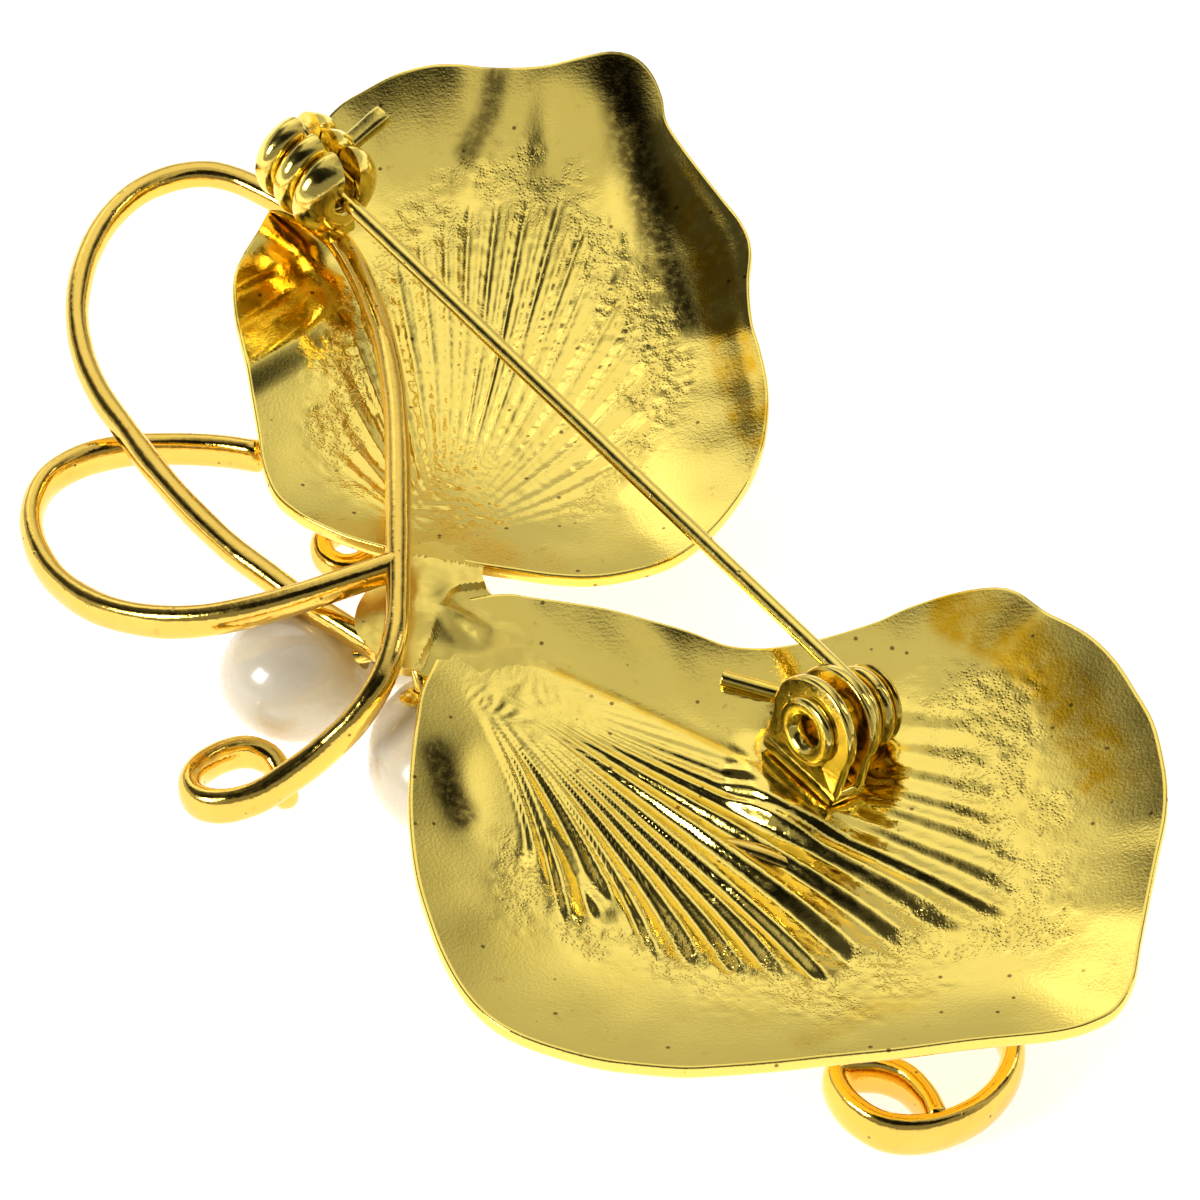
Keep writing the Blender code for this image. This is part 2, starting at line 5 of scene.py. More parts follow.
import bmesh
import bpy
import numpy as np
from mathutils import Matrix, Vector


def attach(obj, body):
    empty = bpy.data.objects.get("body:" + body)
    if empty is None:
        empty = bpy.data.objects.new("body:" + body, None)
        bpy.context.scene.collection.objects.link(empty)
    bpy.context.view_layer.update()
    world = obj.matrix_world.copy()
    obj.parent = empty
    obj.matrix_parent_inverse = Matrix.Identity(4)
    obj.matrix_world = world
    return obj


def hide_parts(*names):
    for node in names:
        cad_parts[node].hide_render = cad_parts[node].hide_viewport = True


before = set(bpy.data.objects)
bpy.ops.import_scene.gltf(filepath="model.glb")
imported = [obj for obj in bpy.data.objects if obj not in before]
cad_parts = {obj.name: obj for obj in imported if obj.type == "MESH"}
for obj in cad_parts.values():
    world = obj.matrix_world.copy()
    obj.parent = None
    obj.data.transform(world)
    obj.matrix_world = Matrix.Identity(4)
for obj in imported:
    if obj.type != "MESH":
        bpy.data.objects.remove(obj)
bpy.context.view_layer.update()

# ---------------------------------------------------------------- driving dimensions (mm)
MM = 0.001
GAP = 0.06                 # clearance kept between soldered neighbours

VIEW_ELEVATION = 50.0      # degrees: the oblique view in which the outlines were drawn
VIEW_SCALE = 20.0          # drawing units per mm at the aim point
VIEW_DISTANCE = 330.0      # eye to aim point
AIM_HEIGHT = 8.0           # aim point above the resting plane
DRAWING_MIDDLE = 600.0     # the aim point lies here in the drawing, across and down
CENTRE_X = -1.07            # middle of the brooch's box, from the aim point
CENTRE_Y = 3.73

LEAF_THICK = 0.85
PEARL_R = 3.5
PEARL_HOLE_R = 0.55
PEARL_HOLE_DEPTH = 2.4
POST_R = 0.45
CUP_THICK = 0.26
CUP_ANGLE = 20.0           # half angle of the cup's cap

HUB_BOTTOM = 8.3
HUB_TOP = 9.1
BOSS_R = 0.9
BOSS_BOTTOM = 5.5

TAPE_HALF_THICK = 0.6      # tendril tape, half of its thickness in plan
TAPE_SIDES = 8

PIN_R = 0.42
COIL_R = 1.75              # axle to wire centre
COIL_SWEEP = 285.0         # degrees of one coil ring
AXLE_HEIGHT = 9.6          # at the front ear
EAR_HALF = 0.3
EAR_R = 2.75
EAR_2_AT = 1.5             # along the axle from the front ear
BASE_DROP = 3.1            # axle to the underside of the bracket
COIL_1_AT = 2.27
COIL_2_AT = 3.22
RIVET_R = 1.2
RIVET_BORE = 0.7
EAR_HOLE_R = 1.3

LOBE_R = 2.6               # rotating catch: outer radius of its three lobes
LOBE_PITCH = 1.62
LOBE_HALF = 0.74
CATCH_BORE = 1.28
SLEEVE_R = 1.18
SLEEVE_BORE = 0.72
SLOT_HALF = 0.52
SLOT_LEAN = 15.0           # degrees from upright, the way the pin lifts out
LEVER_LEAN = 72.0
LEVER_REACH = 4.9

# ---------------------------------------------------------------- outlines: across, down, height
UPPER_LEAF_MIDDLE = (505, 345, 5.5)
UPPER_LEAF = [
    (337, 108, 7.6), (366, 90, 8.2), (398, 74, 8.8), (430, 65, 9.2), (459, 64, 9.3), (487, 67, 9.1),
    (523, 67, 9.0), (551, 64, 9.2), (587, 55, 9.6), (612, 51, 9.8), (634, 56, 9.7), (651, 72, 9.3),
    (662, 97, 8.8), (667, 122, 8.4), (691, 158, 8.3), (719, 194, 8.6), (741, 222, 9.0), (750, 247, 9.1),
    (748, 283, 8.7), (751, 319, 8.4), (759, 347, 8.6), (766, 379, 8.9), (767, 408, 9.0), (762, 444, 9.0),
    (748, 479, 8.8), (723, 515, 8.5), (698, 540, 8.3), (666, 560, 8.1), (623, 572, 8.0), (587, 576, 8.0),
    (551, 574, 8.0), (516, 569, 8.1), (476, 563, 8.1), (440, 556, 8.15), (410, 551, 8.15), (387, 547, 8.1),
    (348, 536, 7.9), (319, 524, 7.8), (298, 513, 7.7), (276, 494, 7.6), (264, 465, 7.5), (259, 433, 7.4),
    (253, 397, 7.4), (248, 369, 7.5), (241, 336, 7.7), (235, 304, 7.8), (235, 276, 7.7), (244, 254, 7.4),
    (257, 233, 7.0), (267, 215, 6.6), (285, 182, 6.4), (308, 143, 6.8),
]
LOWER_LEAF_MIDDLE = (770, 838, 6.0)
LOWER_LEAF = [
    (460, 604, 8.15), (478, 597, 8.15), (508, 594, 8.15), (529, 597, 8.1), (573, 603, 8.1), (612, 610, 8.1),
    (651, 620, 8.0), (691, 632, 8.0), (728, 645, 7.9), (766, 648, 7.9), (808, 642, 8.0), (839, 634, 8.1),
    (878, 621, 8.2), (903, 610, 8.4), (935, 599, 8.6), (967, 591, 8.9), (999, 588, 9.2), (1018, 593, 9.2),
    (1034, 604, 9.0), (1047, 613, 8.9), (1072, 625, 9.1), (1094, 639, 9.3), (1117, 663, 9.4), (1136, 692, 9.4),
    (1152, 720, 9.4), (1161, 752, 9.4), (1166, 784, 9.4), (1165, 816, 9.3), (1158, 851, 9.2), (1152, 880, 9.1),
    (1145, 915, 9.0), (1139, 947, 9.1), (1133, 979, 9.2), (1117, 1007, 9.1), (1091, 1022, 8.9), (1063, 1030, 8.7),
    (1024, 1035, 8.5), (967, 1040, 8.4), (903, 1048, 8.4), (839, 1054, 8.4), (776, 1061, 8.5), (712, 1066, 8.6),
    (680, 1067, 8.6), (640, 1064, 8.7), (600, 1059, 8.7), (560, 1049, 8.8), (520, 1035, 8.8), (490, 1018, 8.8),
    (465, 992, 8.8), (445, 958, 8.8), (430, 920, 8.8), (418, 880, 8.7), (412, 840, 8.6), (410, 800, 8.7),
    (412, 760, 8.8), (417, 720, 8.7), (422, 690, 8.4), (434, 664, 8.15), (450, 632, 8.15),
]
HUB_OUTLINE = [
    (384, 552), (408, 543), (437, 540), (458, 548), (466, 575), (466, 602), (458, 636), (434, 660),
    (408, 666), (392, 654), (370, 640), (355, 622), (357, 600), (374, 575),
]
# tendrils: across, down, height of the tape's middle
CATCH_TENDRIL = [
    (377, 648, 7.38), (340, 625, 7.4), (300, 600, 7.4), (270, 578, 7.5), (230, 548, 7.6), (190, 510, 7.7),
    (155, 470, 7.8), (125, 430, 7.8), (100, 395, 7.8), (83, 355, 7.8), (77, 310, 7.8), (85, 265, 7.8),
    (105, 225, 7.7), (135, 195, 7.6), (170, 179, 7.5), (205, 174, 7.45), (235, 180, 7.4), (262, 192, 7.35),
    (288, 206, 7.3), (310, 218, 7.3), (332, 234, 7.35), (350, 258, 7.6), (368, 295, 8.0), (384, 342, 8.5), (393, 390, 9.0),
    (397, 440, 9.5), (398, 500, 9.9), (398, 560, 10.05), (398, 600, 10.05), (395, 640, 10.05), (382, 680, 9.5),
    (356, 720, 8.1), (322, 753, 6.6), (290, 777, 5.6), (258, 797, 4.8), (225, 806, 4.2), (199, 802, 3.8),
    (190, 788, 3.5), (199, 771, 3.2), (222, 757, 2.9), (248, 752, 2.6), (270, 760, 2.3), (282, 778, 2.0), (286, 797, 1.8),
]
LEFT_TENDRIL = [
    (377, 572, 9.95), (345, 583, 9.75), (300, 598, 9.3), (250, 612, 8.6), (200, 621, 7.8), (150, 621, 7.0),
    (100, 609, 6.3), (60, 584, 5.8), (37, 550, 5.5), (32, 515, 5.2), (47, 483, 5.0), (80, 462, 4.9),
    (125, 451, 4.9), (175, 449, 5.0), (220, 451, 5.35), (256, 456, 5.72),
]
UPPER_FRONT_TENDRIL = [
    (366, 541, 4.2), (372, 553, 4.15), (362, 565, 4.1), (342, 568, 4.05), (325, 558, 4.0), (324, 541, 3.95),
    (345, 526, 3.9), (380, 508, 3.8), (430, 480, 3.6), (480, 440, 3.3), (525, 396, 2.9), (560, 350, 2.3),
    (585, 305, 1.7), (605, 262, 1.2), (628, 230, 1.0), (658, 226, 1.0), (674, 250, 1.0), (668, 280, 1.0), (644, 290, 1.0),
]
LOWER_FRONT_TENDRIL = [
    (640, 845, 3.7), (700, 862, 3.7), (780, 890, 3.5), (860, 925, 3.0), (930, 965, 2.3), (985, 1005, 1.6),
    (1011, 1050, 1.1), (1005, 1088, 1.0), (975, 1120, 1.0), (930, 1138, 1.0), (885, 1137, 1.0), (850, 1116, 1.0),
    (834, 1085, 1.0), (842, 1058, 1.0), (868, 1045, 1.0), (900, 1050, 1.0), (922, 1072, 1.0), (934, 1100, 1.0),
]
HINGE_EAR_1 = (815, 728, AXLE_HEIGHT)
AXLE_DIRECTION = (0.744, 0.618, -0.259)
CATCH_AT = (316, 172, 11.45)
TAIL_END = (724, 686)
PEARLS = {"left": (290, 675), "lower": (440, 757), "centre": (430, 628)}
POSTS = {"left": (378, 650, 6.05), "lower": (418, 664, 7.95), "centre": (430, 577, 8.2)}


# ---------------------------------------------------------------- geometry helpers (mm)
def from_view(u, v, z):
    """The point at height z that the drawing shows at (u, v)."""
    e = math.radians(VIEW_ELEVATION)
    f = VIEW_SCALE * VIEW_DISTANCE
    ahead = Vector((0, math.cos(e), -math.sin(e)))
    up = Vector((0, math.sin(e), math.cos(e)))
    eye = Vector((0, 0, AIM_HEIGHT)) - ahead * VIEW_DISTANCE
    ray = ahead + Vector((1, 0, 0)) * ((u - DRAWING_MIDDLE) / f) + up * ((DRAWING_MIDDLE - v) / f)
    p = eye + ray * ((z - eye.z) / ray.z)
    return Vector((p.x - CENTRE_X, p.y - CENTRE_Y, z))


def spline(points, step=None, closed=False, per=10):
    """A smooth curve through the points, even along its length when a step is given."""
    p = np.array([tuple(q) for q in points], float)
    if closed:
        p = np.vstack([p[-1], p, p[0], p[1]])
    else:
        p = np.vstack([2 * p[0] - p[1], p, 2 * p[-1] - p[-2]])
    out = []
    for i in range(1, len(p) - 2):
        a, b, c, d = p[i - 1], p[i], p[i + 1], p[i + 2]
        for t in np.arange(per) / per:
            out.append(
                0.5 * (2 * b + (c - a) * t + (2 * a - 5 * b + 4 * c - d) * t**2 + (3 * b - a - 3 * c + d) * t**3)
            )
    if not closed:
        out.append(p[-2])
    out = np.array(out)
    if step:
        run = np.r_[0, np.cumsum(np.linalg.norm(np.diff(out, axis=0), axis=1))]
        at = np.linspace(0, run[-1], max(4, int(round(run[-1] / step)) + 1))
        out = np.stack([np.interp(at, run, out[:, k]) for k in range(3)], 1)
    return out


class Leaf:
    """A dished leaf: polar outline about its middle, rim heights, and a floor."""

    def __init__(self, middle, outline, power, pad=None):
        self.middle = from_view(*middle)
        rim = spline([from_view(*q) for q in outline], closed=True)
        x, y = rim[:, 0] - self.middle.x, rim[:, 1] - self.middle.y
        turn = np.arctan2(y, x)
        order = np.argsort(turn)
        self.turn, self.reach, self.rim = turn[order], np.hypot(x, y)[order], rim[order, 2]
        self.power, self.pad = power, pad

    def edge(self, turn):
        return np.interp(turn, self.turn, self.reach, period=2 * math.pi)

    def height(self, x, y):
        dx, dy = x - self.middle.x, y - self.middle.y
        turn = np.arctan2(dy, dx)
        share = np.clip(np.hypot(dx, dy) / self.edge(turn), 0, 1.05)
        rim = np.interp(turn, self.turn, self.rim, period=2 * math.pi)
        z = self.middle.z + (rim - self.middle.z) * share**self.power
        if self.pad:  # a flat seat under the hinge bracket
            at, normal, near, far = self.pad
            flat = at.z - ((x - at.x) * normal.x + (y - at.y) * normal.y) / normal.z
            w = np.clip((far - np.hypot(x - at.x, y - at.y)) / (far - near), 0, 1)
            w = w * w * (3 - 2 * w)
            z = z * (1 - w) + flat * w
        return z


# ---------------------------------------------------------------- hinge and catch frames
AXLE = Vector(AXLE_DIRECTION).normalized()
RISE = (Vector((0, 0, 1)) - AXLE * AXLE.z).normalized()   # upright on the leaf, square to the axle
ALONG = AXLE.cross(RISE)                                  # away from the catch, square to both


def hinge_point(along, rise, s):
    """A point in the hinge's own frame; s runs along the axle from the front ear."""
    return from_view(*HINGE_EAR_1) + ALONG * along + RISE * rise + AXLE * s


def catch_frame():
    """(middle of the catch, the pin's way into it, upright, sideways)."""
    start = hinge_point(0, COIL_R, COIL_1_AT)
    at = from_view(*CATCH_AT)
    way = (at - start).normalized()
    up = (Vector((0, 0, 1)) - way * way.z).normalized()
    return at, way, up, up.cross(way) * -1


def leaves():
    upper = Leaf(UPPER_LEAF_MIDDLE, UPPER_LEAF, 2.3)
    seat = hinge_point(0, -BASE_DROP - 3 * GAP, EAR_2_AT / 2)
    lower = Leaf(LOWER_LEAF_MIDDLE, LOWER_LEAF, 2.3, (seat, RISE, 4.2, 7.2))
    return upper, lower


def tape_heights(n, keys):
    """Half heights along a tape from (share of length, half height) keys."""
    at, tall = zip(*keys)
    return np.interp(np.linspace(0, 1, n), at, tall)


def lie_under(path, tall, leaf, first, last, ease=0.14):
    """Lifts the stretch of a tape between two shares of its length until it bears on the leaf's front."""
    share = np.linspace(0, 1, len(path))
    w = np.clip(1 - np.maximum(first - share, share - last) / ease, 0, 1)
    w = w * w * (3 - 2 * w)
    roof = leaf.height(path[:, 0], path[:, 1]) - LEAF_THICK - tall - 3 * GAP
    path[:, 2] += w * (roof - path[:, 2])


# ---------------------------------------------------------------- fine geometry
def to_view(p):
    """Where the oblique drawing shows points (n, 3)."""
    e = math.radians(VIEW_ELEVATION)
    f = VIEW_SCALE * VIEW_DISTANCE
    ahead = np.array((0, math.cos(e), -math.sin(e)))
    up = np.array((0, math.sin(e), math.cos(e)))
    eye = np.array((0, 0, AIM_HEIGHT)) - ahead * VIEW_DISTANCE
    rel = p + np.array((CENTRE_X, CENTRE_Y, 0)) - eye
    depth = rel @ ahead
    return DRAWING_MIDDLE + f * rel[..., 0] / depth, DRAWING_MIDDLE - f * (rel @ up) / depth


def smooth(x, lo, hi):
    t = np.clip((x - lo) / (hi - lo), 0, 1)
    return t * t * (3 - 2 * t)


def noise(x, y, size, seed):
    """Smooth value noise in -1..1 with cells of the given size."""
    table = np.random.default_rng(seed).uniform(-1, 1, (256, 256))
    u, v = x / size + 1000.3, y / size + 1000.7
    i, j = np.floor(u).astype(int), np.floor(v).astype(int)
    s, t = smooth(u - i, 0, 1), smooth(v - j, 0, 1)
    a, b = table[i % 256, j % 256], table[(i + 1) % 256, j % 256]
    c, d = table[i % 256, (j + 1) % 256], table[(i + 1) % 256, (j + 1) % 256]
    return (a * (1 - s) + b * s) * (1 - t) + (c * (1 - s) + d * s) * t


def near_line(u, v, line, wide):
    """1 on a polyline of the drawing, falling to 0 at wide from it."""
    best = np.full(np.shape(u), 1e9)
    for (a, b), (c, d) in zip(line[:-1], line[1:]):
        t = np.clip(((u - a) * (c - a) + (v - b) * (d - b)) / ((c - a) ** 2 + (d - b) ** 2), 0, 1)
        best = np.minimum(best, np.hypot(u - a - t * (c - a), v - b - t * (d - b)))
    return 1 - smooth(best, 0.25 * wide, wide)


def piece(name, verts, faces, mat, node, body="root", slot="gold_wire", sharp=50.0, attributes=None):
    mesh = bpy.data.meshes.new(name)
    mesh.from_pydata((np.asarray(verts, float) * MM).tolist(), [], faces)
    bm = bmesh.new()
    bm.from_mesh(mesh)
    bmesh.ops.recalc_face_normals(bm, faces=bm.faces)
    bm.to_mesh(mesh)
    bm.free()
    mesh.shade_smooth()
    mesh.set_sharp_from_angle(angle=math.radians(sharp))
    for key, values in (attributes or {}).items():
        mesh.attributes.new(key, "FLOAT", "POINT").data.foreach_set("value", np.asarray(values, np.float32))
    mesh.materials.append(mat)
    ob = bpy.data.objects.new(name, mesh)
    bpy.context.scene.collection.objects.link(ob)
    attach(ob, body)
    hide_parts(node)
    return ob


def rows_faces(count, width, close_rows=False, close_cols=True, first=0):
    out = []
    for i in range(count if close_rows else count - 1):
        a, b = first + i * width, first + ((i + 1) % count) * width
        for k in range(width if close_cols else width - 1):
            m = (k + 1) % width
            out.append((a + k, b + k, b + m, a + m))
    return out


class Shells:
    """Several closed shells gathered into one mesh."""

    def __init__(self):
        self.verts, self.faces = [], []

    def add(self, verts, faces):
        n = len(self.verts)
        self.verts += [tuple(v) for v in verts]
        self.faces += [tuple(n + k for k in f) for f in faces]
        return self


def tube(path, half_thick, half_tall, sides, reference, flat_start=False, flat_end=False, power=1.0):
    """Verts and faces of a closed tube with round or cut ends."""
    path = np.asarray(path, float)
    n = len(path)
    ht, hh = np.array(np.broadcast_to(half_thick, n)), np.array(np.broadcast_to(half_tall, n))
    stations = [(path[i], path[min(i + 1, n - 1)] - path[max(i - 1, 0)], ht[i], hh[i]) for i in range(n)]
    ends = [(0.35, 0.937), (0.66, 0.751), (0.87, 0.493), (0.975, 0.222)]
    cut = [(0.06, 0.985), (0.1, 0.93)]
    lead, trail = [], []
    for out, store, at, way, flat in (
        (-1, lead, path[0], path[1] - path[0], flat_start),
        (1, trail, path[-1], path[-1] - path[-2], flat_end),
    ):
        way = way / np.linalg.norm(way)
        k = 0 if out < 0 else n - 1
        for far, size in cut if flat else ends:
            store.append((at + way * out * far * (1.0 if flat else ht[k] * 0.8), way, ht[k] * size, hh[k] * size))
    stations = lead[::-1] + stations + trail
    verts = []
    for at, way, a, b in stations:
        t = Vector(way).normalized()
        side = t.cross(reference).normalized()
        up = side.cross(t)
        for k in range(sides):
            w = 2 * math.pi * k / sides
            c, s = math.cos(w), math.sin(w)
            c, s = math.copysign(abs(c) ** power, c), math.copysign(abs(s) ** power, s)
            verts.append(tuple(Vector(at) + side * (a * c) + up * (b * s)))
    m = len(stations)
    faces = rows_faces(m, sides)
    faces += [tuple(range(sides)), tuple((m - 1) * sides + k for k in range(sides))]
    return verts, faces


def turned(profile, at, axis, segments, reference=Vector((0.3, 0.2, 1)), poles=False):
    axis = Vector(axis).normalized()
    e1 = (Vector(reference) - axis * Vector(reference).dot(axis)).normalized()
    e2 = axis.cross(e1)
    verts = []
    inner = profile[1:-1] if poles else profile
    for k in range(segments):
        w = 2 * math.pi * k / segments
        way = e1 * math.cos(w) + e2 * math.sin(w)
        verts += [tuple(Vector(at) + way * r + axis * h) for r, h in inner]
    width = len(inner)
    faces = rows_faces(segments, width, close_rows=True, close_cols=not poles)
    if poles:
        for end, k in ((0, 0), (-1, width - 1)):
            verts.append(tuple(Vector(at) + axis * profile[end][1]))
            faces += [(len(verts) - 1, i * width + k, ((i + 1) % segments) * width + k) for i in range(segments)]
    return verts, faces


def slotted(profile, at, axis, up, lean, slot_half, segments):
    axis = Vector(axis).normalized()
    up = (Vector(up) - axis * Vector(up).dot(axis)).normalized()
    side = axis.cross(up)
    verts = []
    for k in range(segments + 1):
        for r, h in profile:
            first = math.asin(slot_half / r)
            w = math.radians(lean) + first + (2 * math.pi - 2 * first) * k / segments
            verts.append(tuple(Vector(at) + up * (r * math.cos(w)) + side * (r * math.sin(w)) + axis * h))
    width = len(profile)
    faces = rows_faces(segments + 1, width)
    faces += [tuple(range(width)), tuple(segments * width + k for k in range(width))]
    return verts, faces


def round_bar(outline, lift, inset):
    """A bar whose ends are chamfered: an outline in the plane across lift."""
    lift = Vector(lift)
    mid = sum((Vector(p) for p in outline), Vector()) / len(outline)
    way = lift.normalized()
    verts = []
    rings = ((0, 1 - inset), (inset * 0.5, 1.0), (lift.length - inset * 0.5, 1.0), (lift.length, 1 - inset))
    for far, size in rings:
        verts += [tuple(mid + (Vector(p) - mid) * size + way * far) for p in outline]
    n = len(outline)
    faces = rows_faces(4, n) + [tuple(range(n)), tuple(3 * n + k for k in range(n))]
    return verts, faces


def rounded(points, r, turns=5):
    """A 2-D outline with its corners rounded."""
    out = []
    n = len(points)
    for i in range(n):
        p, a, b = (np.array(points[k % n], float) for k in (i, i - 1, i + 1))
        u, v = (a - p) / np.linalg.norm(a - p), (b - p) / np.linalg.norm(b - p)
        reach = min(r, 0.45 * np.linalg.norm(a - p), 0.45 * np.linalg.norm(b - p))
        s, e = p + u * reach, p + v * reach
        for k in range(turns + 1):
            t = k / turns
            out.append(tuple((1 - t) ** 2 * s + 2 * t * (1 - t) * p + t * t * e))
    return out


# ---------------------------------------------------------------- leaves
UPPER_FAN = (441, 540)
UPPER_TIPS = [
    (345, 478), (334, 458), (337, 429), (343, 392), (351, 333), (372, 292), (398, 258), (425, 235), (451, 211), (476, 197),
    (505, 192), (537, 190), (569, 196), (592, 222), (605, 255), (630, 290), (644, 326), (648, 372), (651, 419), (628, 460), (580, 504),
]
LOWER_FAN = (446, 655)
LOWER_TIPS = [
    (528, 882), (568, 925), (606, 922), (655, 966), (700, 976), (744, 984), (785, 986), (830, 988), (866, 964),
    (918, 950), (964, 930), (1016, 918), (1018, 884), (1018, 850), (1008, 822), (1002, 792), (990, 758), (973, 723),
]


def on_leaf(leaf, u, v):
    p = from_view(u, v, leaf.middle.z)
    for _ in range(6):
        p = from_view(u, v, float(leaf.height(np.array(p.x), np.array(p.y))))
    return p


class Fan:
    """Ribs that spread from one point to given tips."""

    def __init__(self, leaf, fan, tips, bend, saw, spill):
        self.bend, self.saw, self.spill = bend, saw, spill
        self.at = on_leaf(leaf, *fan)
        p = np.array([tuple(on_leaf(leaf, *t)) for t in tips])
        d = p[:, :2] - np.array((self.at.x, self.at.y))
        self.base = math.atan2(*(leaf.middle - self.at).yx)
        turn = (np.arctan2(d[:, 1], d[:, 0]) - self.base + math.pi) % (2 * math.pi) - math.pi
        order = np.argsort(turn)
        self.turn, self.reach = turn[order], np.hypot(d[:, 0], d[:, 1])[order]
        step = np.diff(self.turn).mean()
        self.turn = np.r_[self.turn[0] - 6 * step, self.turn[0] - step, self.turn, self.turn[-1] + step, self.turn[-1] + 6 * step]
        self.reach = np.r_[self.reach[0], self.reach[0], self.reach, self.reach[-1], self.reach[-1]]
        self.index = np.r_[-6, -1, np.arange(len(tips)), len(tips), len(tips) + 5].astype(float)
        self.count = len(tips)

    def at_points(self, x, y, seed, fine, tall):
        """(rib relief, stipple mask, rib mask) at plan points."""
        dx, dy = x - self.at.x, y - self.at.y
        r = np.hypot(dx, dy)
        turn = (np.arctan2(dy, dx) - self.base + math.pi) % (2 * math.pi) - math.pi
        far = np.interp(turn, self.turn, self.reach)
        bend = np.interp(turn, (self.turn[2], self.turn[-3]), self.bend)
        turn = turn - bend * np.clip(1 - r / far, 0, 1) + 0.012 * np.sin(r / 5.0)
        k = np.interp(turn, self.turn, self.index)
        end = np.interp(turn, self.turn, self.reach) + 0.4 * noise(x, y, 1.6, seed)
        step = np.interp(turn, self.turn[1:], np.diff(self.turn) / np.maximum(np.diff(self.index), 1e-6))
        off = np.abs(k - np.round(k)) * 2
        crest = np.clip(1 - off, 0, 1) ** 1.7
        if self.saw:  # steep on the near side, easy on the far side
            part = k - np.floor(k)
            crest = smooth(np.where(part < 0.6, 1 - part / 0.6, (part - 0.6) / 0.4), -0.12, 1.12)
        aside = smooth(k, -0.75, -0.1) * (1 - smooth(k, self.count - 0.9, self.count - 0.25))
        along = smooth(r, 0.5, 2.2) * (1 - smooth(r, end - 1.3, end + 0.25))
        tall = np.minimum(0.36 * r * step, 0.5) * tall(k)
        relief = tall * (crest - 0.3) * aside * along
        lines = 0.10 * np.minimum(r * step, 1) * np.cos(k * 6 * math.pi) * aside * along * smooth(r, 3, 7) * fine
        wide = smooth(k, -2.6, -0.4) * (1 - smooth(k, self.count - 0.6, self.count + 1.6))
        grain = wide * smooth(r, end - 5.0, end) * (1 - smooth(r, end + 0.2, end + self.spill)) * np.clip(0.62 + 0.6 * noise(x, y, 1.1, seed + 9), 0.1, 1)
        return relief + lines, grain, aside * along


def leaf_piece(name, leaf, fan, extra, mat, masks, seed, fine, tall, rough, clear, keep):
    around, rings = 460, 104
    turns = np.arange(around) * 2 * math.pi / around
    reach = leaf.edge(turns)
    share = (np.arange(1, rings + 1) / rings)[:, None] ** 0.92
    x = leaf.middle.x + np.cos(turns) * reach * share
    y = leaf.middle.y + np.sin(turns) * reach * share
    relief, grain, ribs = fan.at_points(x, y, seed, fine, tall)
    base = leaf.height(x, y)
    u, v = to_view(np.stack([x, y, base], -1))
    relief, ribs = relief * keep(u, v), ribs * keep(u, v)
    plain = 1 - np.clip(grain + ribs, 0, 1)
    inner = 1 - smooth(share * np.ones_like(x), 0.97, 1.0)
    tiny = 0.06 * noise(x, y, 0.38, seed + 1) + 0.045 * noise(x, y, 0.25, seed + 2)
    wave = 0.07 * noise(x, y, 4.5, seed + 3) + 0.02 * noise(x, y, 1.9, seed + 4)
    seat = np.ones_like(x)
    if clear:
        seat = smooth(np.hypot(x - clear.x, y - clear.y), 2.0, 3.4)
    detail = ((relief + np.maximum(grain, rough * ribs) * tiny) * inner + plain * wave) * (0.15 + 0.85 * seat)
    detail = detail + extra(u, v, x, y, share * np.ones_like(x)) * seat
    z = base + detail
    rim_z = z[-1]
    out = np.stack([np.cos(turns), np.sin(turns)], 1)
    rows = [np.stack([x[i], y[i], z[i]], 1) for i in range(rings)]
    for far, drop in ((0.05, 0.06), (0.1, 0.2), (0.12, 0.42), (0.1, 0.64), (0.05, 0.79)):
        rows.append(np.stack([x[-1] + out[:, 0] * far, y[-1] + out[:, 1] * far, rim_z - drop], 1))
    under = np.arange(rings - 1, -1, -1)
    rows += [np.stack([x[i], y[i], base[i] + detail[i] - LEAF_THICK], 1) for i in under]
    verts = np.vstack(rows)
    mid = np.array([[leaf.middle.x, leaf.middle.y, z[0].mean()], [leaf.middle.x, leaf.middle.y, z[0].mean() - LEAF_THICK]])
    n = len(rows)
    faces = rows_faces(n, around)
    verts = np.vstack([verts, mid])
    top, low = len(verts) - 2, len(verts) - 1
    faces += [(top, k, (k + 1) % around) for k in range(around)]
    faces += [(low, (n - 1) * around + (k + 1) % around, (n - 1) * around + k) for k in range(around)]

    def spread(field):
        edge = np.repeat(field[-1:], 5, 0)
        return np.r_[np.vstack([field, edge, field[under]]).ravel(), field[0].mean(), field[0].mean()]

    fields = {"grain": spread(grain), "ribs": spread(ribs)}
    for key, fn in masks.items():
        fields[key] = spread(fn(u, v))
    return piece(name, verts, faces, mat, name, slot="gold_plate", sharp=180, attributes=fields)


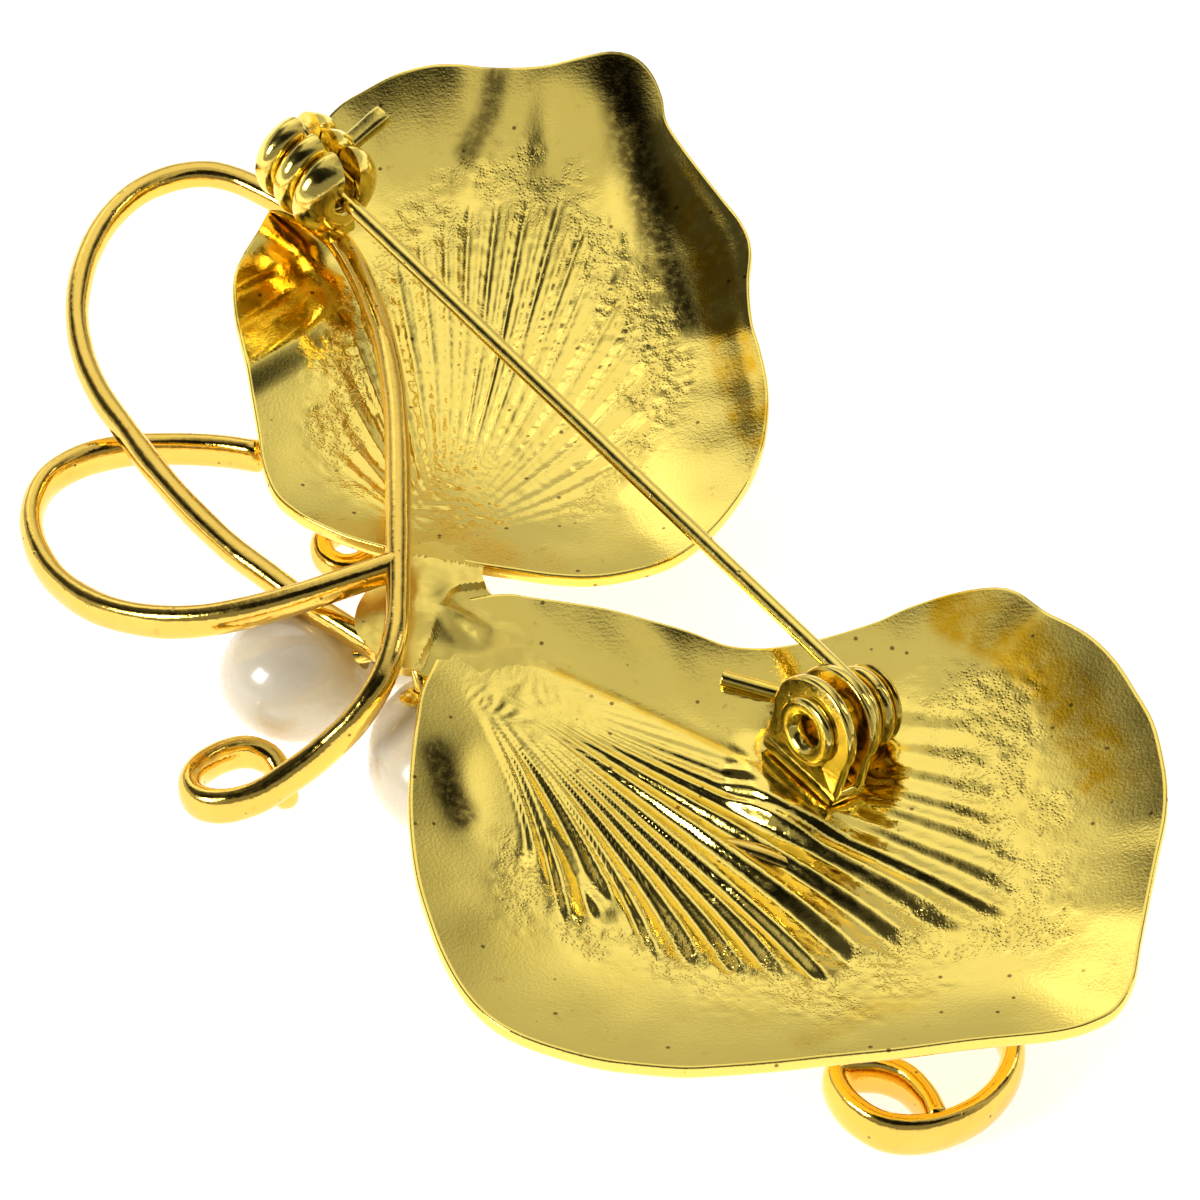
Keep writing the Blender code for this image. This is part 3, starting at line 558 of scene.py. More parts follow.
# ---------------------------------------------------------------- finishes
class Nodes:
    """Short ways to add and link shader nodes."""

    def __init__(self, name):
        self.material = bpy.data.materials.new(name)
        self.material.use_nodes = True
        self.tree = self.material.node_tree
        self.shader = self.tree.nodes["Principled BSDF"]
        coord = self.tree.nodes.new("ShaderNodeTexCoord")
        scale = self.tree.nodes.new("ShaderNodeMapping")
        scale.inputs["Scale"].default_value = (1000, 1000, 1000)
        self.tree.links.new(coord.outputs["Object"], scale.inputs["Vector"])
        self.mm = scale.outputs["Vector"]

    def put(self, node, key, value):
        socket = node.inputs[key]
        if hasattr(value, "is_output"):
            self.tree.links.new(value, socket)
        else:
            socket.default_value = value

    def noise(self, scale, detail=2.0, rough=0.5, vector=None, distortion=0.0):
        n = self.tree.nodes.new("ShaderNodeTexNoise")
        self.put(n, "Vector", vector or self.mm)
        for key, value in (("Scale", scale), ("Detail", detail), ("Roughness", rough), ("Distortion", distortion)):
            n.inputs[key].default_value = value
        return n.outputs["Fac"]

    def stretched(self, factors, turn=(0, 0, 0)):
        n = self.tree.nodes.new("ShaderNodeMapping")
        self.put(n, "Vector", self.mm)
        n.inputs["Scale"].default_value = factors
        n.inputs["Rotation"].default_value = turn
        return n.outputs["Vector"]

    def cells(self, scale, vector=None):
        n = self.tree.nodes.new("ShaderNodeTexVoronoi")
        self.put(n, "Vector", vector or self.mm)
        n.inputs["Scale"].default_value = scale
        return n.outputs["Distance"], n.outputs["Color"]

    def ramp(self, value, lo, hi, a=0.0, b=1.0):
        n = self.tree.nodes.new("ShaderNodeMapRange")
        n.interpolation_type = "SMOOTHSTEP"
        self.put(n, "Value", value)
        for key, number in (("From Min", lo), ("From Max", hi), ("To Min", a), ("To Max", b)):
            n.inputs[key].default_value = number
        return n.outputs["Result"]

    def math(self, op, a, b=0.0):
        n = self.tree.nodes.new("ShaderNodeMath")
        n.operation = op
        self.put(n, 0, a)
        self.put(n, 1, b)
        return n.outputs[0]

    def mix(self, share, a, b):
        n = self.tree.nodes.new("ShaderNodeMix")
        n.data_type = "RGBA"
        self.put(n, "Factor", share)
        for key, value in (("A", a), ("B", b)):
            socket = [s for s in n.inputs if s.name == key and s.type == "RGBA"][0]
            if hasattr(value, "is_output"):
                self.tree.links.new(value, socket)
            else:
                socket.default_value = (*value, 1.0)
        return [s for s in n.outputs if s.type == "RGBA"][0]

    def attribute(self, name):
        n = self.tree.nodes.new("ShaderNodeAttribute")
        n.attribute_name = name
        return n.outputs["Fac"]

    def first(self, colour):
        n = self.tree.nodes.new("ShaderNodeSeparateColor")
        self.put(n, "Color", colour)
        return n.outputs[0]

    def bump(self, height, strength, distance):
        n = self.tree.nodes.new("ShaderNodeBump")
        self.put(n, "Height", height)
        n.inputs["Strength"].default_value = strength
        n.inputs["Distance"].default_value = distance
        return n

    def set(self, **values):
        for key, value in values.items():
            self.put(self.shader, key.replace("_", " "), value if not isinstance(value, tuple) else (*value, 1.0))
        return self.material


GOLD = (0.97, 0.76, 0.17)
# amber: painted warm reflection on the leaves' fold walls and along the vein crease; elsewhere the gold's own warmer
# tone in blotches
AMBER_TONE_AND_WARM_REFLECTION = (0.80, 0.47, 0.02)


def gold_leaf(name):
    n = Nodes(name)
    grain, ribs = n.attribute("grain"), n.attribute("ribs")
    amber_tone_and_warm_reflection, painted_dark_reflection = n.attribute("amber_tone_and_warm_reflection"), n.attribute("painted_dark_reflection")
    tint = n.mix(n.ramp(n.noise(0.35, 3.0), 0.4, 0.72, 0.0, 0.4), GOLD, (0.95, 0.71, 0.13))
    # amber mask: painted warm reflection in folds and the crease, partly the gold's own warmer tone
    tint = n.mix(n.math("MULTIPLY", n.ramp(amber_tone_and_warm_reflection, 0.0, 0.6), n.ramp(n.noise(0.55, 6.0, 0.7), 0.34, 0.64, 0.2, 1.0)), tint, AMBER_TONE_AND_WARM_REFLECTION)
    distance, colour = n.cells(1.15)
    chosen = n.ramp(n.first(colour), 0.72, 0.76)
    spot = n.math("MULTIPLY", n.ramp(distance, 0.09, 0.17, 1.0, 0.0), chosen)
    spot = n.math("MULTIPLY", spot, n.ramp(grain, 0.2, 0.6, 1.0, 0.3))
    smear = n.ramp(n.noise(1.3, 4.0, 0.6), 0.62, 0.74, 0.0, 0.55)
    smear = n.math("MULTIPLY", smear, n.ramp(ribs, 0.2, 0.8, 1.0, 0.3))
    tint = n.mix(smear, tint, (0.72, 0.42, 0.08))
    tint = n.mix(n.math("MULTIPLY", spot, 0.85), tint, (0.16, 0.09, 0.02))
    # painted reflection: near-black painted into the leaf colour along the masked bands, standing for dark reflections
    tint = n.mix(n.math("MULTIPLY", painted_dark_reflection, n.ramp(n.noise(2.4, 3.0), 0.3, 0.6, 0.6, 1.0)), tint, (0.05, 0.03, 0.006))
    rough = n.math("ADD", n.ramp(n.noise(1.7, 3.0), 0.35, 0.75, 0.08, 0.17), n.math("MULTIPLY", grain, 0.16))
    fine = n.bump(n.noise(6.5, 2.0), 0.16, 0.00005)
    pits, which = n.cells(5.4)
    stipple = n.math("MULTIPLY", n.ramp(pits, 0.1, 0.55, 1.0, 0.0), n.ramp(grain, 0.1, 0.7))
    n_bump = n.bump(stipple, 0.4, 0.00006)
    n.tree.links.new(fine.outputs[0], n_bump.inputs["Normal"])
    lines = n.bump(n.noise(1.0, 2.0, 0.5, n.stretched((0.5, 9.0, 2.0), (0, 0, 0.5))), 0.05, 0.00005)
    n.tree.links.new(n_bump.outputs[0], lines.inputs["Normal"])
    return n.set(Base_Color=tint, Metallic=1.0, Roughness=rough, Normal=lines.outputs[0])


def gold_cast(name):
    n = Nodes(name)
    tint = n.mix(n.ramp(n.noise(0.9, 3.0), 0.45, 0.8, 0.0, 0.5), GOLD, (0.92, 0.66, 0.13))
    distance, colour = n.cells(1.6)
    spot = n.math("MULTIPLY", n.ramp(distance, 0.08, 0.2, 1.0, 0.0), n.ramp(n.first(colour), 0.85, 0.88))
    tint = n.mix(n.math("MULTIPLY", spot, 0.6), tint, (0.15, 0.08, 0.02))
    rough = n.ramp(n.noise(2.2, 3.0), 0.3, 0.7, 0.3, 0.44)
    bump = n.bump(n.noise(1.0, 4.0, 0.6, n.stretched((0.8, 3.5, 2.0), (0, 0, 0.4))), 0.16, 0.0001)
    return n.set(Base_Color=tint, Metallic=1.0, Roughness=rough, Normal=bump.outputs[0])


def gold_round(name, speck=0.8, rough=(0.09, 0.2), seed=0.0, base=GOLD):
    n = Nodes(name)
    tint = n.mix(n.ramp(n.noise(0.5, 3.0), 0.45, 0.75, 0.0, 0.5), base, (0.95, 0.66, 0.15))
    distance, colour = n.cells(1.35)
    spot = n.math("MULTIPLY", n.ramp(distance, 0.07, 0.15, 1.0, 0.0), n.ramp(n.first(colour), 0.7, 0.75))
    smear = n.ramp(n.noise(1.1, 4.0, 0.6), 0.6, 0.75, 0.0, 0.5)
    tint = n.mix(smear, tint, (0.70, 0.40, 0.07))
    tint = n.mix(n.math("MULTIPLY", spot, speck), tint, (0.14, 0.08, 0.02))
    gloss = n.ramp(n.noise(1.9, 3.0), 0.3, 0.75, *rough)
    bump = n.bump(n.noise(1.4, 3.0, 0.55), 0.3, 0.00010)
    pit = n.bump(spot, 0.6, -0.00006)
    n.tree.links.new(bump.outputs[0], pit.inputs["Normal"])
    return n.set(Base_Color=tint, Metallic=1.0, Roughness=gloss, Normal=pit.outputs[0])


def nacre(name):
    n = Nodes(name)
    tint = n.mix(n.ramp(n.noise(0.22, 2.0), 0.3, 0.7), (0.91, 0.83, 0.65), (0.89, 0.78, 0.57))
    tint = n.mix(n.ramp(n.noise(0.9, 3.0), 0.55, 0.8, 0.0, 0.25), tint, (0.84, 0.80, 0.70))
    gloss = n.ramp(n.noise(0.8, 2.0), 0.3, 0.7, 0.2, 0.3)
    bump = n.bump(n.noise(1.1, 3.0), 0.08, 0.0001)
    m = n.set(Base_Color=tint, Metallic=0.0, Roughness=gloss, Normal=bump.outputs[0])
    for key, value in (
        ("Subsurface Weight", 0.06), ("Subsurface Scale", 0.0008), ("Coat Weight", 0.6), ("Coat Roughness", 0.08), ("IOR", 1.6),
    ):
        n.shader.inputs[key].default_value = value
    return m


LEAF_GOLD = gold_leaf("polished_ribbed_gold")
CAST_GOLD = gold_cast("cast_gold")
# a darker, more amber copy of the gold: painted shade for the tendrils' darker reflections
SHADED_WIRE_GOLD = gold_round("shaded_wire_gold", base=(0.88, 0.60, 0.115))
FITTING_GOLD = gold_round("fitting_gold", 0.7, (0.11, 0.22))
PIN_GOLD = gold_round("pin_gold", 0.35, (0.12, 0.2))
PEARL = nacre("nacre")

# ---------------------------------------------------------------- the pieces
upper, lower = leaves()
plain_lower = Leaf(LOWER_LEAF_MIDDLE, LOWER_LEAF, 2.3, (*lower.pad[:2], 2.3, 4.6))


def upper_extra(u, v, x, y, share):
    """Flutes across the upper leaf's far rim and a fold along its right rim."""
    ring = smooth(share, 0.36, 0.70) * (1 - smooth(share, 0.70, 1.0))
    flute = 0.5 * np.exp(-((u - 618 - (v - 70) * 0.26) / 36) ** 2) + 0.3 * np.exp(-((u - 500 + (v - 68) * 0.28) / 19) ** 2)
    flute = flute - 0.22 * np.exp(-((u - 551) / 21) ** 2)
    far = 1 - smooth(v, 150, 270)
    centre = np.interp(v, (90, 182, 246, 320, 376, 426, 500), (660, 692, 724, 740, 754, 768, 800))
    fold = np.exp(-((u - centre) / 19) ** 2) * smooth(v, 120, 200) * (1 - smooth(v, 410, 480))
    pleat = near_line(u, v, [(200, 356), (290, 300), (360, 252)], 40) - 0.8 * near_line(u, v, [(205, 384), (296, 330), (366, 280)], 40)
    return -flute * ring * far + 0.08 * fold * (1 - smooth(share, 0.92, 1.0)) - 0.3 * pleat * smooth(share, 0.5, 0.8)


def vein(u, v):
    """(share along the lower leaf's vein, mm below it)."""
    (a, b), (c, d) = (484, 636), (930, 842)
    t = ((u - a) * (c - a) + (v - b) * (d - b)) / ((c - a) ** 2 + (d - b) ** 2)
    return t, -((u - a) * (d - b) - (v - b) * (c - a)) / math.hypot(c - a, d - b) / VIEW_SCALE


def below_vein(u, v):
    t, off = vein(u, v)
    return np.maximum(smooth(off, 0.0, 1.5), smooth(t, 0.75, 0.95))


def lower_extra(u, v, x, y, share):
    """The lower leaf's vein, a crease, and the hollow along its left side."""
    t, off = vein(u, v)
    on = smooth(t, -0.05, 0.1) * (1 - smooth(t, 0.55, 0.95))
    crease = np.exp(-(off / 0.22) ** 2)
    above = np.clip(-off, 0, 3.2)
    side = np.interp(v, (700, 760, 830, 900), (474, 462, 468, 500))
    step = np.exp(-((u - side) / 21) ** 2) * smooth(v, 720, 775) * (1 - smooth(v, 800, 870))
    return -0.13 * step + on * (-0.05 * crease + 0.02 * above * (1 - smooth(-off, 2.0, 5.5)))


leaf_piece(
    "upper_leaf", upper, Fan(upper, UPPER_FAN, UPPER_TIPS, (0.0, 0.0), False, 4.4), upper_extra, LEAF_GOLD,
    {
        # amber here is painted warm reflection, on the right fold's left wall and in the left pleat
        "amber_tone_and_warm_reflection": lambda u, v: np.maximum(
            near_line(u, v, [(675, 182), (708, 246), (724, 320), (738, 376), (754, 426)], 30),
            0.9 * near_line(u, v, [(296, 238), (268, 276), (250, 310)], 34)),
        # painted reflection: dark bands down the far rim and beside the right fold
        "painted_dark_reflection": lambda u, v: np.maximum(np.maximum(
            0.9 * near_line(u, v, [(616, 66), (628, 120), (642, 170), (657, 225)], 34),
            0.9 * near_line(u, v, [(657, 225), (675, 280), (688, 318)], 18)),
            0.75 * near_line(u, v, [(498, 68), (489, 110), (466, 150)], 18)),
    }, 11, 0.15, lambda k: 0.32 + 0 * k, 0.3, None, lambda u, v: 1.0 + 0 * u)
leaf_piece(
    "lower_leaf", plain_lower, Fan(plain_lower, LOWER_FAN, LOWER_TIPS, (0.30, 0.06), True, 4.8), lower_extra, LEAF_GOLD,
    {
        # amber: painted warm reflection along the vein crease; blotches at the right rim and near the bottom edge are
        # the gold's own warmer tone
        "amber_tone_and_warm_reflection": lambda u, v: np.maximum(
            0.4 * near_line(u, v, [(486, 640), (560, 672), (640, 708), (756, 764), (800, 784)], 7),
            np.maximum(
                0.8 * near_line(u, v, [(960, 612), (1015, 640), (1070, 700), (1104, 770)], 46),
                0.25 * near_line(u, v, [(800, 1040), (880, 1010), (930, 998)], 18))),
        # painted reflection: a dark patch beside the hollow along the left side
        "painted_dark_reflection": lambda u, v: 0.9 * near_line(u, v, [(436, 752), (446, 785), (462, 815)], 24),
    }, 23, 0.0, lambda k: np.interp(k, (0, 3, 8, 10, 12, 17), (1.5, 1.45, 0.95, 0.66, 0.4, 0.26)), 0.2, lower.pad[0], below_vein)

# hub: a rough cast web with rounded edges, over its boss
WEB = [
    (378, 556), (392, 537), (408, 520), (438, 508), (468, 518), (482, 545), (484, 574), (504, 590), (534, 602), (560, 622),
    (548, 652), (512, 668), (476, 668), (442, 666), (408, 662), (388, 655), (368, 640), (355, 622), (357, 600), (370, 577),
]
flat = spline([from_view(a, b, HUB_TOP) for a, b in WEB], closed=True, per=12)
mid = np.array(from_view(420, 602, HUB_TOP))


def leaf_floor(x, y):
    """Height of whichever leaf lies under a plan point, or of the web's edge."""
    best = np.full(np.shape(x), HUB_BOTTOM + 0.35)
    for leaf in (upper, plain_lower):
        dx, dy = x - leaf.middle.x, y - leaf.middle.y
        inside = np.hypot(dx, dy) < 1.03 * leaf.edge(np.arctan2(dy, dx))
        best = np.where(inside, leaf.height(x, y), best)
    return best


rows = []
for share in np.r_[np.linspace(0.04, 0.9, 22), 0.94, 0.97, 0.99, 1.0]:
    p = mid + (flat - mid) * share
    w = 1 - smooth(np.array(share), 0.05, 0.55)
    lump = 0.025 * noise(p[:, 0], p[:, 1], 1.1, 5) + 0.014 * noise(p[:, 0], p[:, 1], 0.5, 6)
    ground = leaf_floor(p[:, 0], p[:, 1])
    z = w * (HUB_TOP - 0.04) + (1 - w) * (ground + 0.04) - 0.10 * smooth(np.array(share), 0.55, 1.0)
    rows.append(np.c_[p[:, :2], z + lump * (1 - smooth(np.array(share), 0.85, 1.0))])
for share, drop in ((0.985, 0.25), (0.9, 0.35), (0.5, 0.5), (0.04, 0.5)):
    p = mid + (flat - mid) * share
    rows.append(np.c_[p[:, :2], np.minimum(leaf_floor(p[:, 0], p[:, 1]) - drop, HUB_BOTTOM + 0.1)])
wide = len(flat)
hub = Shells().add(np.vstack(rows), rows_faces(len(rows), wide) + [tuple(range(wide)), tuple((len(rows) - 1) * wide + k for k in range(wide))])
low = BOSS_BOTTOM - HUB_BOTTOM
boss = [(0, 0.3), (BOSS_R, 0.3), (BOSS_R, 0.0), (BOSS_R, low / 2), (BOSS_R, low + 0.3), (BOSS_R - 0.1, low + 0.1), (BOSS_R - 0.3, low), (0, low)]
hub.add(*turned(boss, from_view(408, 630, HUB_BOTTOM), (0, 0, 1), 48, poles=True))
piece("hub", hub.verts, hub.faces, CAST_GOLD, "hub", slot="gold_plate")

# tendrils
CURL = LOWER_FRONT_TENDRIL[:12] + [
    (834, 1090, 1.0), (842, 1079, 1.0), (862, 1078, 1.0), (884, 1080, 1.0), (907, 1090, 1.0), (926, 1110, 1.0), (936, 1130, 1.0),
]
for name, points, keys, under in (
    ("catch_tendril", CATCH_TENDRIL, ((0, 0.72), (0.45, 0.66), (0.7, 0.75), (0.86, 0.8), (0.93, 0.85), (1, 0.7)), None),
    ("left_tendril", LEFT_TENDRIL, ((0, 0.72), (0.3, 0.85), (0.6, 0.9), (1, 0.85)), None),
    ("upper_front_tendril", UPPER_FRONT_TENDRIL, ((0, 0.8), (0.5, 0.85), (0.75, 0.95), (1, 0.95)), (upper, 0.36, 0.52)),
    ("lower_front_tendril", CURL, ((0, 0.8), (0.3, 0.9), (1, 1.0)), (lower, 0.0, 0.2)),
):
    path = spline([from_view(*q) for q in points], step=0.3)
    tall = tape_heights(len(path), keys)
    if under:
        lie_under(path, tall, *under)
    if name == "left_tendril":
        for k in (0, -1):
            end = path[k]
            uv = np.array(to_view(end))
            if np.hypot(*(uv - (378, 574))) < 40:
                way = path[k] - path[k + 1 if k == 0 else k - 1]
                extra = [end + way / np.linalg.norm(way) * d for d in (0.3, 0.6, 0.9, 1.2)]
                path = np.vstack([extra[::-1], path]) if k == 0 else np.vstack([path, extra])
                tall = np.r_[[tall[0]] * 4, tall] if k == 0 else np.r_[tall, [tall[-1]] * 4]
    run = np.arange(len(path)) * 0.3
    tall = tall * {"left_tendril": 1.16, "catch_tendril": np.interp(np.linspace(0, 1, len(path)), (0, 0.8, 0.93, 1), (1.08, 1.1, 1.3, 1.3)), "lower_front_tendril": 1.4}.get(name, 1.0)
    path[:, 2] = np.maximum(path[:, 2], tall * 1.04 + 0.02)
    thick = TAPE_HALF_THICK * 1.06 * (1 + 0.05 * noise(run, run * 0, 2.2, 31) + 0.02 * noise(run, run * 0, 0.9, 32))
    piece(name, *tube(path, thick, tall * (1 + 0.03 * noise(run, run * 0, 2.6, 33)), 24, Vector((0, 0, 1)), power=0.88), SHADED_WIRE_GOLD, name, sharp=60)

# pearls, cups, posts
for which, seed in (("left", 41), ("lower", 42), ("centre", 43)):
    at = from_view(*PEARLS[which], PEARL_R)
    top = from_view(*POSTS[which])
    way = (top - at).normalized()
    reach = (top - at).length
    rim = math.asin(PEARL_HOLE_R / PEARL_R)
    profile = [(0, PEARL_R - PEARL_HOLE_DEPTH), (PEARL_HOLE_R, PEARL_R - PEARL_HOLE_DEPTH), (PEARL_HOLE_R, PEARL_R * math.cos(rim) - 0.03)]
    steps = 48
    for k in range(steps + 1):
        w = rim + (math.pi - rim) * k / steps
        profile.append((PEARL_R * math.sin(w) if k < steps else 0.0, PEARL_R * math.cos(w)))
    verts, faces = turned(profile, at, way, 80, poles=True)
    p = np.array(verts) - np.array(at)
    far = np.linalg.norm(p, axis=1)
    swell = 1 - 0.006 * (1 + noise(p[:, 0] + 0.7 * p[:, 2], p[:, 1] - 0.6 * p[:, 2], 2.4, seed)) * smooth(far, 3.2, 3.45)
    p = p * np.array({"left": (1.13, 1.0, 1.0), "lower": (1.04, 1.28, 1.0), "centre": (1.04, 1.02, 1.0)}[which])
    shift = np.array({"left": (0.35, 0.0, 0.0), "lower": (0.0, 0.1, 0.0), "centre": (0.0, 0.0, 0.0)}[which])
    piece("pearl_" + which, np.array(at) + shift + p * swell[:, None], faces, PEARL, "pearl_" + which, slot="pearl")
    inner, outer = PEARL_R + GAP, PEARL_R + GAP + CUP_THICK
    ring = []
    for r, order in ((inner, range(9)), (outer, reversed(range(9)))):
        first = math.asin((POST_R + 0.1) / r)
        for k in order:
            w = first + (math.radians(CUP_ANGLE) - first) * k / 8
            ring.append((r * math.sin(w), r * math.cos(w)))
    piece("pearl_cup_" + which, *turned(ring, at, way, 48), FITTING_GOLD, "pearl_cup_" + which)
    foot = PEARL_R - PEARL_HOLE_DEPTH + 0.15
    post = [(0, reach), (POST_R - 0.08, reach), (POST_R, reach - 0.08), (POST_R, foot + 0.08), (POST_R - 0.08, foot), (0, foot)]
    piece("pearl_post_" + which, *turned(post, at, way, 32, poles=True), FITTING_GOLD, "pearl_post_" + which)


# hinge bracket
def fine_ear(s):
    count = 96
    verts = []
    for size, at in ((0, -1.0), (0.93, -1.0), (0.98, -0.85), (1, -0.5), (1, 0.5), (0.98, 0.85), (0.93, 1.0), (0, 1.0)):
        for k in range(count):
            w = 2 * math.pi * k / count
            c, h = math.cos(w), math.sin(w)
            r = EAR_R
            if h < 0:
                r = min(2.6 / max(abs(c), 1e-6), (BASE_DROP - 0.3) / max(abs(h), 1e-6), 3.75)
                r = EAR_R + (r - EAR_R) * float(smooth(np.array(-h), 0.0, 0.35))
            r = r * size if size else EAR_HOLE_R
            verts.append(tuple(hinge_point(c * r, h * r, s + at * EAR_HALF)))
    return verts, rows_faces(8, count, close_rows=True)


bracket = Shells().add(*fine_ear(0.0)).add(*fine_ear(EAR_2_AT))
corners = rounded([(-2.6, -BASE_DROP), (2.6, -BASE_DROP), (2.6, -BASE_DROP + 0.75), (-2.6, -BASE_DROP + 0.75)], 0.3)
bracket.add(*round_bar([hinge_point(a, b, -EAR_HALF - 0.02) for a, b in corners], AXLE * (EAR_2_AT + 2 * EAR_HALF + 0.04), 0.05))
piece("hinge_bracket", bracket.verts, bracket.faces, FITTING_GOLD, "hinge_bracket")

# rivet
front, end = -EAR_HALF - 0.05, COIL_2_AT + PIN_R + 0.08
eyelet = [
    (RIVET_BORE, front + 0.5), (RIVET_BORE + 0.04, front - 0.05), (RIVET_BORE + 0.16, front - 0.22), (1.0, front - 0.36), (1.2, front - 0.45),
    (1.4, front - 0.46), (1.6, front - 0.42), (1.74, front - 0.32), (1.8, front - 0.18), (1.76, front - 0.03), (1.7, front),
    (RIVET_R, front), (RIVET_R, end), (1.85, end), (1.98, end + 0.05), (2.05, end + 0.16), (2.0, end + 0.3), (1.85, end + 0.39),
    (1.6, end + 0.4), (RIVET_BORE + 0.1, end + 0.4), (RIVET_BORE, end + 0.32), (RIVET_BORE, 1.5),
]
piece("hinge_rivet", *turned(eyelet, hinge_point(0, 0, 0), AXLE, 80, reference=RISE), FITTING_GOLD, "hinge_rivet")

# pin with its coil
catch_at, way, up, side = catch_frame()
axle_mid = hinge_point(0, 0, COIL_1_AT)
tangent = hinge_point(0, COIL_R, COIL_1_AT)
tip = catch_at + way * 1.9
path, thick = [], []
for share in np.r_[0.0, 0.005, 0.012, 0.02, 0.035, 0.05, 0.07, 0.09, np.linspace(0.115, 0.985, 60)]:
    path.append(tuple(tip + (tangent - tip) * float(share)))
    thick.append(PIN_R * min(1.0, 0.25 + float(share) * 20.0))
turns = 72
for k in range(turns + 1):
    w = math.radians(90 - COIL_SWEEP * k / turns)
    path.append(tuple(hinge_point(COIL_R * math.cos(w), COIL_R * math.sin(w), COIL_1_AT)))
    thick.append(PIN_R)
piece("pin_stem", *tube(path, thick, thick, 24, AXLE, flat_end=True), PIN_GOLD, "pin_stem", body="pin")

# spring tail
tail_end = from_view(*TAIL_END, 7.0)
tail_end.z = float(lower.height(np.array(tail_end.x), np.array(tail_end.y))) + PIN_R + 0.18
tail_mid = hinge_point(-3.1, -COIL_R, 2.5)
path = [tuple(p) for p in spline([tail_end, tail_end.lerp(tail_mid, 0.5), tail_mid, hinge_point(-1.0, -COIL_R, COIL_2_AT)], step=0.25)]
for k in range(turns + 1):
    w = math.radians(-90 + COIL_SWEEP * k / turns)
    path.append(tuple(hinge_point(COIL_R * math.cos(w), COIL_R * math.sin(w), COIL_2_AT)))
piece("spring_tail", *tube(path, PIN_R - 0.02, PIN_R - 0.02, 24, AXLE, flat_start=True, flat_end=True), PIN_GOLD, "spring_tail")


# catch
def fine_lobe(inner, outer, half, middle, turns=12):
    """A disc's half section with a round outer edge, bore first."""
    out = [(inner + 0.06, middle + half), (inner, middle + half - 0.06), (inner, middle - half + 0.06), (inner + 0.06, middle - half)]
    for k in range(turns + 1):
        w = -math.pi / 2 + math.pi * k / turns
        out.append((outer - half + half * math.cos(w), middle + half * math.sin(w)))
    return out


def domed_cheek(sense):
    """A cheek's half section, closed by a dome on its outer face."""
    near = LOBE_PITCH - LOBE_HALF
    out = [(CATCH_BORE + 0.06, near), (CATCH_BORE, near + 0.06), (CATCH_BORE, 2.40), (0.78, 2.44), (0.75, 2.6), (0.82, 2.7), (1.0, 2.76), (1.3, 2.75)]
    out += [(1.6, 2.69), (1.88, 2.57), (2.14, 2.39), (2.36, 2.15), (2.51, 1.88), (2.59, 1.62)]
    for k in range(1, 9):
        w = -math.pi / 2 * k / 8
        out.append((LOBE_R - LOBE_HALF + LOBE_HALF * math.cos(w), LOBE_PITCH + LOBE_HALF * math.sin(w)))
    return [(r, h * sense) for r, h in out]


housing = Shells()
for sense in (-1, 1):
    housing.add(*slotted(domed_cheek(sense), catch_at, way, up, SLOT_LEAN, SLOT_HALF, 80))
far, gap_half, low = LOBE_PITCH + 0.55, LOBE_PITCH - LOBE_HALF + 0.02, -3.25
for h0, h1 in ((-far, -gap_half), (gap_half, far)):
    bar = rounded([(h0, low + 0.2), (h1, low + 0.2), (h1, -1.7), (h0, -1.7)], 0.2)
    housing.add(*round_bar([catch_at + way * h + up * z - side * 0.85 for h, z in bar], side * 1.7, 0.08))
bar = rounded([(-far, low), (far, low), (far, -LOBE_R - 0.12), (-far, -LOBE_R - 0.12)], 0.25)
housing.add(*round_bar([catch_at + way * h + up * z - side * 0.85 for h, z in bar], side * 1.7, 0.08))
piece("catch_housing", housing.verts, housing.faces, FITTING_GOLD, "catch_housing")

h = LOBE_HALF - 0.02
profile = [(SLEEVE_BORE, 2.24), (SLEEVE_BORE, -2.24), (SLEEVE_BORE + 0.07, -2.3), (SLEEVE_R - 0.07, -2.3), (SLEEVE_R, -2.24), (SLEEVE_R, -h)]
profile += fine_lobe(CATCH_BORE, LOBE_R, h, 0.0)[4:]
profile += [(SLEEVE_R, h), (SLEEVE_R, 2.24), (SLEEVE_R - 0.07, 2.3), (SLEEVE_BORE + 0.07, 2.3)]
rotor = Shells().add(*slotted(profile, catch_at, way, up, SLOT_LEAN, SLOT_HALF, 80))
out = up * math.cos(math.radians(LEVER_LEAN)) + side * math.sin(math.radians(LEVER_LEAN))
across = out.cross(way)
lever = []
for share in np.linspace(0, 1, 14):
    lever.append(tuple(catch_at + out * (1.9 + (LEVER_REACH - 2.15) * float(share))))
swell = np.interp(np.linspace(0, 1, 14), (0, 0.5, 0.85, 1.0), (0.9, 0.92, 1.0, 0.96))
rotor.add(*tube(lever, 0.44 * swell, 0.54 * swell, 20, way, flat_end=True, power=0.6))
piece("catch_rotor", rotor.verts, rotor.faces, FITTING_GOLD, "catch_rotor", body="catch_rotor_body")

# ---------------------------------------------------------------- floor, light, camera
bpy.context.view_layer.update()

floor_mesh = bpy.data.meshes.new("floor")
floor_mesh.from_pydata([(-1.5, -1.5, -0.00005), (1.5, -1.5, -0.00005), (1.5, 1.5, -0.00005), (-1.5, 1.5, -0.00005)], [], [(0, 1, 2, 3)])
paper = Nodes("floor_paper")
floor_mesh.materials.append(paper.set(Base_Color=(0.93, 0.93, 0.93), Roughness=0.75))
paper.shader.inputs["Specular IOR Level"].default_value = 0.1
paper.shader.inputs["Emission Color"].default_value = (1.0, 1.0, 1.0, 1.0)
paper.shader.inputs["Emission Strength"].default_value = 0.72
floor = bpy.data.objects.new("floor", floor_mesh)
bpy.context.scene.collection.objects.link(floor)

